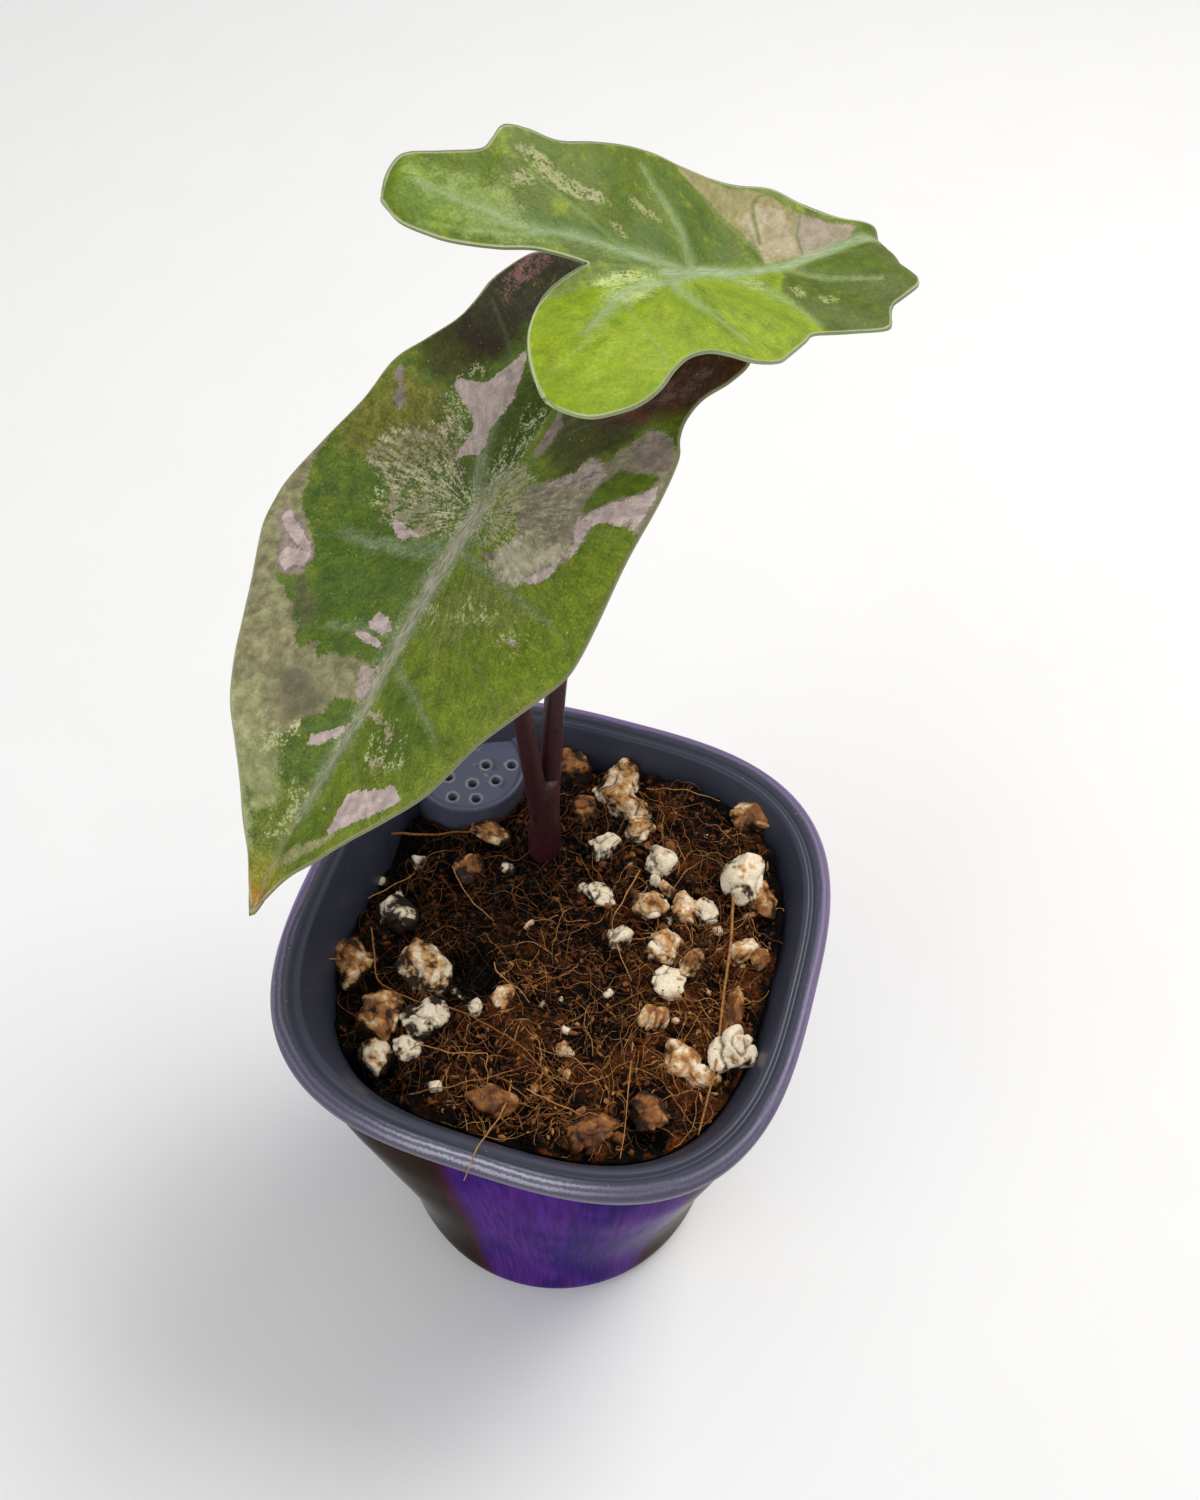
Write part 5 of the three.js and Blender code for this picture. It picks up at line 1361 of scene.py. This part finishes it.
def blade_sheet(blade, u, v, lift):
    """Points of the blade's middle sheet. A side leaves the midrib at its rise and turns over at its curl,
    so that it is an arc across; both are blended from the lobe's values to the blade's along u."""
    run, height, slope = midrib(blade, u)
    share = 1 / (1 + np.exp(-(u - blade["blend_at"]) / blade["blend"]))
    side = np.where(v > 0, 0, 1)
    rise, curl, lobe_rise, lobe_curl = (
        np.radians(np.array(blade[key], float))[side] for key in ("rise", "curl", "lobe_rise", "lobe_curl"))
    rise = lobe_rise + (rise - lobe_rise) * share
    curl = lobe_curl + (curl - lobe_curl) * share
    curl = np.where(np.abs(curl) < 1e-6, 1e-6, curl)
    reach = np.abs(v)
    out = (np.sin(rise) - np.sin(rise - curl * reach)) / curl * np.sign(v)
    above = (np.cos(rise - curl * reach) - np.cos(rise)) / curl + lift
    along, across, up = blade_axes(blade)
    return (np.array(blade["seat"]) + np.multiply.outer(run + above * np.sin(slope), along)
            + np.multiply.outer(height + above * np.cos(slope), up) + np.multiply.outer(out, across))


def blade_grid(blade):
    """u, v, row share t and column share w of each point of the sheet, its faces, and its rim.
    Each half runs from its lobe's edge and the midrib out to the margin; the halves share the midrib."""
    tip = np.array(blade["margins"][0][-1], float)
    sinus = np.array(blade["sinus"], float)
    lobes = [np.array([*edge, blade["sinus"]], float) for edge in blade["lobe_edges"]]
    lobe_length = np.mean([run_along(lobe)[-1] for lobe in lobes])
    split = round(ROWS * lobe_length / (lobe_length + tip[0] - sinus[0]))
    u = sinus[0] + (tip[0] - sinus[0]) * np.linspace(0, 1, ROWS - split + 1)[1:]
    swerve = np.where(u < 0, sinus[1] * (u / sinus[0]) ** 2, tip[1] * (u / tip[0]) ** 2)
    rib = np.stack([u, swerve], axis=-1)
    w = np.linspace(0, 1, COLUMNS + 1)
    halves = []
    for lobe, margin in zip(lobes, blade["margins"]):
        inner = np.concatenate([spline(lobe, split + 1), rib])[:, None]
        outer = spline(margin, ROWS + 1)[:, None]
        halves.append(inner + (outer - inner) * w[None, :, None])
    size = (ROWS + 1) * (COLUMNS + 1)
    ids = np.arange(2 * size).reshape(2, ROWS + 1, COLUMNS + 1)
    ids[1, split:, 0] = ids[0, split:, 0]
    ids[:, 0] = ids[:, 0, :1]
    ids[:, ROWS] = ids[0, ROWS, 0]
    t = np.broadcast_to(np.linspace(0, 1, ROWS + 1)[None, :, None], ids.shape).ravel()
    w = np.broadcast_to(w[None, None], ids.shape).ravel()
    place = np.array(halves).reshape(-1, 2)
    corners = [ids[:, :-1, :-1], ids[:, 1:, :-1], ids[:, 1:, 1:], ids[:, :-1, 1:]]
    faces = np.stack(corners, axis=-1)
    faces[1] = faces[1][..., ::-1]
    loop = np.concatenate([ids[0, split:0:-1, 0], ids[0, :, COLUMNS], ids[1, ROWS - 1::-1, COLUMNS],
                           ids[1, 1:split, 0]])
    inward = np.concatenate([ids[0, split:0:-1, 1], ids[0, :, COLUMNS - 1], ids[1, ROWS - 1::-1, COLUMNS - 1],
                             ids[1, 1:split, 1]])
    inward[0] = ids[0, split + 2, 0]
    inward[split] = ids[0, 2, COLUMNS // 2]
    inward[split + ROWS] = ids[0, ROWS - 2, 0]
    inward[split + 2 * ROWS] = ids[1, 2, COLUMNS // 2]
    return place, t, w, faces.reshape(-1, 4), loop, inward


def sheet_normals(points, faces):
    """Normals of a sheet: the cross products of its quads' diagonals, summed at each point."""
    normal = np.cross(points[faces[:, 2]] - points[faces[:, 0]], points[faces[:, 3]] - points[faces[:, 1]])
    total = np.zeros_like(points)
    for k in range(4):
        np.add.at(total, faces[:, k], normal)
    return unit(total)


def make_blade(name, leaf, material, thickness):
    """A closed blade: the middle sheet, pleated and quilted, gives an upper and a lower face half a
    thickness off it, and a rounded rim joins them. The ribs are low on top and stand out below."""
    blade, ribs, veins, layers = (leaf[key] for key in ("blade", "ribs", "veins", "layers"))
    place, t, w, faces, loop, inward = blade_grid(blade)
    used, packed = np.unique(faces, return_inverse=True)
    renumber = np.zeros(len(place), int)
    renumber[used] = np.arange(len(used))
    place, t, w = place[used], t[used], w[used]
    faces, loop, inward = packed.reshape(-1, 4), renumber[loop], renumber[inward]
    u, v = place.T
    flat = xyz(u, v, 0)
    pleats = 4 * w * (1 - w) * np.cos(TURN * (blade["veins"] * t - 0.6 * w))
    rib = distance_to_lines(place, ribs)
    vein = distance_to_lines(place, veins)
    lift = blade["pleat"] * pleats + QUILTING * lattice_noise(flat, 5.0, 2, 2) * smooth_step(1 - w, 0, 0.1)
    middle = blade_sheet(blade, u, v, lift)
    normal = sheet_normals(middle, faces)
    fade = np.clip(1 - u / blade["margins"][0][-1][0], 0, 1) * smooth_step(u, -46, 0)
    on_rib, on_vein = smooth_step(rib, 0.9, -0.4), smooth_step(vein, 0.9, -0.2)
    above = 0.22 * on_rib * fade - 0.16 * on_vein
    below = blade["rib_depth"] * fade * smooth_step(rib, 1.4, -0.6) + 0.3 * on_vein + 0.1 * on_rib
    upper = middle + normal * (thickness / 2 + above)[:, None]
    lower = middle - normal * (thickness / 2 + below)[:, None]
    outward = middle[loop] - middle[inward]
    outward -= np.sum(outward * normal[loop], axis=1, keepdims=True) * normal[loop]
    rim = middle[loop] + unit(outward) * thickness * 0.45
    count = len(used)
    after = np.roll(np.arange(len(loop)), -1)
    edge_ids = 2 * count + np.arange(len(loop))
    rim_up = np.stack([loop, edge_ids, edge_ids[after], loop[after]], axis=-1)
    rim_down = np.stack([edge_ids, count + loop, count + loop[after], edge_ids[after]], axis=-1)
    quads = np.concatenate([faces, count + faces[:, ::-1], rim_up, rim_down])
    skin = (np.concatenate([upper, lower, rim]), *parted(quads))
    piece = make_piece(f"{name}_blade", skin, material, [name])
    every = np.concatenate([np.arange(count), np.arange(count), loop])
    give(piece, "blade", flat[every])
    reach, side = np.abs(v), np.sign(v)
    lean = smooth_step(u, -12, 6) * 0.5
    give(piece, "grain", xyz(u - lean * reach, reach * 0.6, side)[every])
    give(piece, "rays", xyz(np.arctan2(reach, u) * RAYS, np.hypot(u, v) * RAY_STRETCH, side)[every])
    give(piece, "rib", rib[every])
    give(piece, "midrib", distance_to_lines(place, ribs[:1])[every])
    give(piece, "vein", vein[every])
    give(piece, "under", np.repeat([0.0, 1.0, 0.0], [count, count, len(loop)]))
    outline = place[loop][::4]
    give(piece, "edge", distance_to_lines(place, [(np.append(outline, outline[:1], axis=0), 0, 0)])[every])
    for number, one in enumerate(layers):
        depth = np.maximum(-distance_to_lines(place, one["lines"]), depth_inside(place, one["outlines"]))
        give(piece, f"layer_{number}", np.clip(depth, -8, 8)[every])


def parted(quads):
    """Quads with two corners on one point become triangles, and those with fewer than three are dropped."""
    same = quads == np.roll(quads, -1, axis=1)
    whole = quads[same.sum(axis=1) == 0]
    folded = quads[same.sum(axis=1) == 1]
    triangles = folded[~same[same.sum(axis=1) == 1]].reshape(-1, 3)
    return whole, triangles


def leaf_material(name, near, far, layers, tones):
    """A variegated blade: a green for each half, then the layers in turn, with edges that noise and small
    cells break. Streaks that run out from the stalk and a net of fine veins cross them all; the ribs, the
    side veins, the margin and the underside come last."""
    paint = Paint(name)
    blade = paint.attribute("blade", "Vector")
    grain = paint.attribute("grain", "Vector")
    cell = paint.cells(blade, 0.36, output="Number")
    speck = paint.cells(blade, 0.3, output="Number")
    broad = paint.noise(blade, 7, detail=4)
    middle = paint.noise(blade, 2.2, detail=5, roughness=0.6)
    ground = paint.noise(blade, tones["cloud"], detail=5, roughness=0.65)
    fine = paint.noise(blade, 0.5, detail=4, roughness=0.7)
    streak = paint.noise(paint.attribute("rays", "Vector"), 0.6, detail=4, roughness=0.65)
    warped = paint.nudged(grain, middle, broad, 5)
    net = paint.cells(paint.stretch(warped, (1, 0.8, 1)), 2.2, feature="DISTANCE_TO_EDGE")
    fine_net = paint.cells(warped, 0.8, feature="DISTANCE_TO_EDGE")
    drift = paint.fit(middle, 2.4, paint.fit(fine, 2.0, -2.4))
    drift = paint.fit(cell, 0.25, drift)
    fleck = paint.fit(streak, 1.3, paint.times(cell, 0.4))
    base = paint.mix(paint.ramp(paint.part(blade, "Y"), -1.5, 2.5), near, far)
    base = paint.shaded(base, paint.ramp(broad, 0.3, 0.7, 0.86, 1.1))
    base = paint.mix(paint.ramp(ground, 0.5, 0.7, 0, tones["clouding"]), base, tones["sun"])
    base = paint.mix(paint.ramp(ground, 0.5, 0.32, 0, tones["clouding"]), base, tones["shade"])
    calm = 0.0
    for number, one in enumerate(layers):
        shifted = paint.fit(drift, one["ragged"], paint.attribute(f"layer_{number}"))
        share = paint.ramp(shifted, -one["soft"], one["soft"], 0, one["share"])
        if one["scatter"] < 1:
            start = 1.10 - 0.54 * one["scatter"]
            share = paint.times(share, paint.ramp(fleck, start, start + 0.06))
        tone = paint.mix(paint.ramp(middle, 0.32, 0.68), one["tones"][1], one["tones"][0])
        base = paint.mix(share, base, tone)
        if one["calm"]:
            calm = paint.larger(calm, share)
    dark, bright = tones["mottle"]
    mottle = paint.fit(speck, 0.12, paint.ramp(fine, 0.34, 0.66, dark, bright))
    mottle = paint.plus(mottle, -1.0)
    mottle = paint.fit(mottle, paint.ramp(calm, 0, 1, 1, 0.25), 1.0)
    mottle = paint.times(mottle, paint.ramp(streak, 0.3, 0.7, *tones["streaks"]))
    base = paint.shaded(base, paint.times(mottle, tones["gain"]))
    glint = paint.fit(speck, 0.3, paint.fit(middle, 0.7, fine))
    glint = paint.ramp(glint, 1.27, 1.33, 0, tones["glints"])
    base = paint.mix(glint, base, tones["glint"])
    darkest = paint.fit(broad, 0.5, paint.ramp(calm, 0, 1, tones["net"] - 0.25, 0.58))
    netted = paint.times(paint.ramp(net, 0.0, 0.05, darkest, 1.0), paint.ramp(fine_net, 0.0, 0.12, 0.93, 1.0))
    base = paint.shaded(base, netted)
    striped = paint.noise(paint.stretch(blade, (0.12, 1, 1)), 0.32, detail=3)
    line = paint.mix(paint.ramp(striped, 0.35, 0.65), tones["rib_dark"], tones["rib"])
    on_rib = paint.ramp(paint.attribute("rib"), 0.5, -0.4, 0, tones["side_ribs"])
    frayed = paint.fit(paint.plus(fine, striped), 0.9, -0.9)
    on_middle = paint.ramp(paint.plus(paint.attribute("midrib"), frayed), 0.9, -0.6, 0, 0.8)
    fade = paint.ramp(paint.part(blade, "X"), *tones["fade"], 1.0, 0.4)
    on_middle = paint.times(on_middle, fade)
    on_vein = paint.ramp(paint.attribute("vein"), 0.5, -0.1, 0, tones["side_veins"])
    base = paint.mix(on_vein, base, tones["vein"])
    base = paint.mix(paint.larger(on_rib, on_middle), base, line)
    edge = paint.fit(fine, 0.5, paint.attribute("edge"))
    margin = paint.times(paint.ramp(edge, tones["rim"] + 0.35, tones["rim"]), 0.8)
    base = paint.mix(margin, base, tones["margin"])
    on_any = paint.larger(paint.larger(on_rib, on_middle), on_vein)
    below = paint.mix(on_any, tones["below"], tones["below_rib"])
    below = paint.shaded(below, paint.fit(middle, 0.5, 0.75))
    base = paint.mix(paint.times(paint.attribute("under"), 0.8), base, below)
    height = paint.fit(fine, 0.6, paint.ramp(net, 0.0, 0.25, 0, tones["relief"]))
    normal = paint.bump(height, 0.07, Normal=paint.bump(middle, 0.3))
    rough = paint.fit(middle, 0.2, tones["roughness"])
    return paint.finish(base, rough, normal, Specular_IOR_Level=0.3, Subsurface_Weight=0.05,
                        Subsurface_Scale=0.001)


LOWER_TONES = {
    "sun": under_sheen(136, 140, 44), "shade": under_sheen(66, 86, 28), "glint": under_sheen(206, 204, 148),
    "gain": 1.1, "net": 0.86, "relief": 0.8, "cloud": 3.0, "clouding": 0.55, "mottle": (0.68, 1.2),
    "streaks": (0.78, 1.2), "glints": 0.6, "side_ribs": 0.12, "side_veins": 0.14, "rim": 0.3,
    "fade": (40, 62),
    "rib": under_sheen(192, 186, 166), "rib_dark": under_sheen(138, 136, 108),
    "vein": under_sheen(136, 150, 124), "margin": under_sheen(176, 174, 136), "roughness": 0.36,
    "below": under_sheen(118, 134, 90), "below_rib": under_sheen(156, 158, 118),
}
UPPER_TONES = {
    "sun": under_sheen(162, 180, 40), "shade": under_sheen(90, 118, 20), "glint": under_sheen(210, 214, 150),
    "gain": 0.98, "net": 0.98, "relief": 0.25, "cloud": 4.2, "clouding": 0.6, "mottle": (0.86, 1.08),
    "streaks": (0.88, 1.1), "glints": 0.3, "side_ribs": 0.42, "side_veins": 0.18, "rim": 0.4,
    "fade": (50, 60),
    "rib": under_sheen(176, 190, 160), "rib_dark": under_sheen(138, 158, 114),
    "vein": under_sheen(156, 178, 120), "margin": under_sheen(184, 192, 152), "roughness": 0.38,
    "below": under_sheen(146, 166, 104), "below_rib": under_sheen(178, 192, 140),
}


LOWER_LEAF = {"blade": LOWER_BLADE, "ribs": LOWER_RIBS, "veins": LOWER_VEINS, "layers": LOWER_LAYERS,
              "tones": LOWER_TONES}
UPPER_LEAF = {"blade": UPPER_BLADE, "ribs": UPPER_RIBS, "veins": UPPER_VEINS, "layers": UPPER_LAYERS,
              "tones": UPPER_TONES}


def make_leaf(name, age, leaf, near, far, thickness):
    """A blade with its material, whose name and slot go by the leaf's age."""
    material = leaf_material(f"{age}_blade", near, far, leaf["layers"], leaf["tones"])
    make_blade(name, leaf, material, thickness / drawn_mm())


class ALOCASIA_OT_lower_leaf(bpy.types.Operator):
    """Makes the older, lower blade, dark green with pink and sage patches"""
    bl_idname = "alocasia.lower_leaf"
    bl_label = "Lower Leaf"

    def execute(self, context):
        settings = context.scene.alocasia_leaf
        make_leaf("lower_leaf", "old", LOWER_LEAF, settings.old_left, settings.old_right, settings.thickness)
        return {"FINISHED"}


class ALOCASIA_OT_upper_leaf(bpy.types.Operator):
    """Makes the younger, upper blade, lime green with a pink sector"""
    bl_idname = "alocasia.upper_leaf"
    bl_label = "Upper Leaf"

    def execute(self, context):
        settings = context.scene.alocasia_leaf
        make_leaf("upper_leaf", "young", UPPER_LEAF, settings.young_near, settings.young_far,
                  settings.thickness)
        return {"FINISHED"}


# The stalks

STEM_BASE = [-10.1, 21, 108]
SHEATH = [[-10, 20.8, 104], STEM_BASE, [-10.4, 22, 132], [-10.6, 24.4, 147]]
LOWER_PETIOLE = [STEM_BASE, [-10.4, 21.4, 126], [-12.4, 22.3, 146], [-15.4, 23.8, 169], [-19.6, 25.6, 196]]
UPPER_PETIOLE = [STEM_BASE, [-10.2, 22.2, 126], [-10.5, 26.4, 146], [-11, 32, 169], [-11, 44, 202],
                 [-9.8, 57.6, 234]]
PETIOLE_NECK = 4.5
SHEATH_TAPER = [[0, 2.4], [0.12, 4.2], [0.55, 3.7], [0.93, 2.9], [1, 2.2]]
PETIOLE_TAPER = [[0, 2.6], [0.35, 2.2], [0.9, 1.9], [0.97, 2.15], [1, 2.5]]


def petiole_path(points, blade):
    """The stalk's centre line: it turns to meet its blade squarely and ends inside its thickness."""
    _, _, up = blade_axes(blade)
    seat = np.array(blade["seat"], float)
    return [*points, seat - up * (PETIOLE_NECK + 1.6), seat - up * 0.1]


def stalk_material(settings):
    paint = Paint("burgundy_stalk")
    flecks = paint.noise(paint.place((1, 1, 0.35)), 0.6, detail=3)
    broad = paint.noise(paint.place((1, 1, 0.3)), 4, detail=2)
    base = paint.shaded(settings.stalk, paint.fit(broad, 0.9, 0.55))
    base = paint.mix(paint.ramp(flecks, 0.56, 0.66, 0, 0.8), base, srgb(28, 12, 14))
    base = paint.mix(paint.ramp(paint.attribute("height"), 205, 232, 0, 0.45), base, srgb(104, 88, 58))
    normal = paint.bump(flecks, 0.12)
    return paint.finish(base, 0.42, normal, Specular_IOR_Level=0.5)


class ALOCASIA_OT_stalks(bpy.types.Operator):
    """Makes the sheath and the two leaf stalks as round tubes along smooth curves"""
    bl_idname = "alocasia.stalks"
    bl_label = "Stalks"

    def execute(self, context):
        settings = context.scene.alocasia_leaf
        skin = joined([
            self.tube(SHEATH, SHEATH_TAPER, 60),
            self.tube(petiole_path(LOWER_PETIOLE, LOWER_BLADE), PETIOLE_TAPER, 140),
            self.tube(petiole_path(UPPER_PETIOLE, UPPER_BLADE), PETIOLE_TAPER, 180)])
        piece = make_piece("sheath_and_stalks", skin, stalk_material(settings),
                           ["stem_and_petioles"])
        give(piece, "height", skin[0][:, 2])
        return {"FINISHED"}

    def tube(self, line, taper, steps):
        path = spline(np.array(line, float), steps)
        shares, radii = np.array(taper).T
        radius = np.interp(np.linspace(0, 1, steps), shares, radii)
        return tubes(path[None], radius[None], 28, up=(1, 0, 0))


# The stage

CAMERA_PLACE = (43.5, -133.0, 394.1)
CAMERA_LENS = 33.6
CAMERA_AZIMUTH, CAMERA_ELEVATION, CAMERA_ROLL = 15.155, 54.775, 2.32


def object_matrix(place, right, up, back):
    """An object's matrix from its place in metres and its three directions."""
    return Matrix.Translation(place) @ Matrix(np.stack([right, up, back], axis=-1).tolist()).to_4x4()


def area_light(name, place, aim, size, power, tint):
    """A square soft light at a place in metres, turned to face its aim."""
    light = bpy.data.lights.new(name, "AREA")
    light.size, light.energy, light.color = size, power, tint
    back = unit(np.subtract(place, aim))
    right = unit(np.cross((0, 1, 0), back))
    put(name, light).matrix_world = object_matrix(place, right, np.cross(back, right), back)


class ALOCASIA_OT_stage(bpy.types.Operator):
    """Makes the pale floor, the soft studio light and the camera at the photo's angle"""
    bl_idname = "alocasia.stage"
    bl_label = "Stage"

    def execute(self, context):
        settings = context.scene.alocasia_stage
        self.make_floor(settings)
        self.make_light(context, settings)
        self.make_camera(context)
        return {"FINISHED"}

    def make_floor(self, settings):
        mesh = bpy.data.meshes.new("floor")
        reach = 3.0
        mesh.from_pydata([(-reach, -reach, 0), (reach, -reach, 0), (reach, reach, 0), (-reach, reach, 0)],
                         [], [(0, 1, 2, 3)])
        floor = put("floor", mesh)
        paint = Paint("pale_floor")
        clouds = paint.noise(paint.place(), 40)
        tone = paint.shaded(settings.floor, paint.ramp(clouds, 0, 1, 0.98, 1.0))
        floor.data.materials.append(paint.finish(tone, 0.9))

    def make_light(self, context, settings):
        world = bpy.data.worlds.new("studio")
        context.scene.world = world
        world.use_nodes = True
        background = world.node_tree.nodes["Background"]
        background.inputs["Color"].default_value = (1.0, 1.0, 1.0, 1.0)
        background.inputs["Strength"].default_value = settings.sky
        area_light("key", (0.35, 0.45, 1.1), (0, 0, 0.12), 0.55, settings.key, (1.0, 0.98, 0.95))
        area_light("fill", (-0.5, -0.8, 0.8), (0, 0, 0.1), 0.8, settings.key * 0.38, (0.95, 0.97, 1.0))
        context.scene.view_settings.view_transform = "Standard"

    def make_camera(self, context):
        camera = put("photo_camera", bpy.data.cameras.new("photo_camera"))
        camera.data.lens = CAMERA_LENS
        camera.data.sensor_width = 36
        camera.data.clip_start = 0.01
        azimuth, elevation, roll = (math.radians(a) for a in (CAMERA_AZIMUTH, CAMERA_ELEVATION, CAMERA_ROLL))
        ahead = np.array([-math.sin(azimuth) * math.cos(elevation), math.cos(azimuth) * math.cos(elevation),
                          -math.sin(elevation)])
        right = np.array([math.cos(azimuth), math.sin(azimuth), 0])
        up = np.cross(right, ahead)
        turned_right = math.cos(roll) * right + math.sin(roll) * up
        turned_up = math.cos(roll) * up - math.sin(roll) * right
        camera.matrix_world = object_matrix([k * MM for k in CAMERA_PLACE], turned_right, turned_up, -ahead)
        context.scene.camera = camera


SETTINGS = {"alocasia_pot": PotSettings, "alocasia_mix": MixSettings, "alocasia_leaf": LeafSettings,
            "alocasia_stage": StageSettings}
OPERATORS = [ALOCASIA_OT_stage, ALOCASIA_OT_outer_pot, ALOCASIA_OT_liner, ALOCASIA_OT_soil,
             ALOCASIA_OT_chunks, ALOCASIA_OT_fibres, ALOCASIA_OT_stalks, ALOCASIA_OT_lower_leaf,
             ALOCASIA_OT_upper_leaf]


class ALOCASIA_PT_pieces(bpy.types.Panel):
    """Lists the pieces and their sizes and colours"""
    bl_idname = "ALOCASIA_PT_pieces"
    bl_label = "Potted Alocasia"
    bl_space_type = "VIEW_3D"
    bl_region_type = "UI"
    bl_category = "Alocasia"

    def draw(self, context):
        for operator in OPERATORS:
            self.layout.operator(operator.bl_idname)
        for name, group in SETTINGS.items():
            box = self.layout.box()
            for key in group.__annotations__:
                box.prop(getattr(context.scene, name), key)


def register():
    for group in SETTINGS.values():
        bpy.utils.register_class(group)
    for name, group in SETTINGS.items():
        setattr(bpy.types.Scene, name, bpy.props.PointerProperty(type=group))
    for operator in OPERATORS:
        bpy.utils.register_class(operator)
    bpy.utils.register_class(ALOCASIA_PT_pieces)


def unregister():
    bpy.utils.unregister_class(ALOCASIA_PT_pieces)
    for operator in reversed(OPERATORS):
        bpy.utils.unregister_class(operator)
    for name, group in SETTINGS.items():
        delattr(bpy.types.Scene, name)
        bpy.utils.unregister_class(group)


def main():
    register()
    bpy.ops.alocasia.stage()
    bpy.ops.alocasia.outer_pot()
    bpy.ops.alocasia.liner()
    bpy.ops.alocasia.soil()
    bpy.ops.alocasia.chunks()
    bpy.ops.alocasia.fibres()
    bpy.ops.alocasia.stalks()
    bpy.ops.alocasia.lower_leaf()
    bpy.ops.alocasia.upper_leaf()


if __name__ == "__main__":
    main()
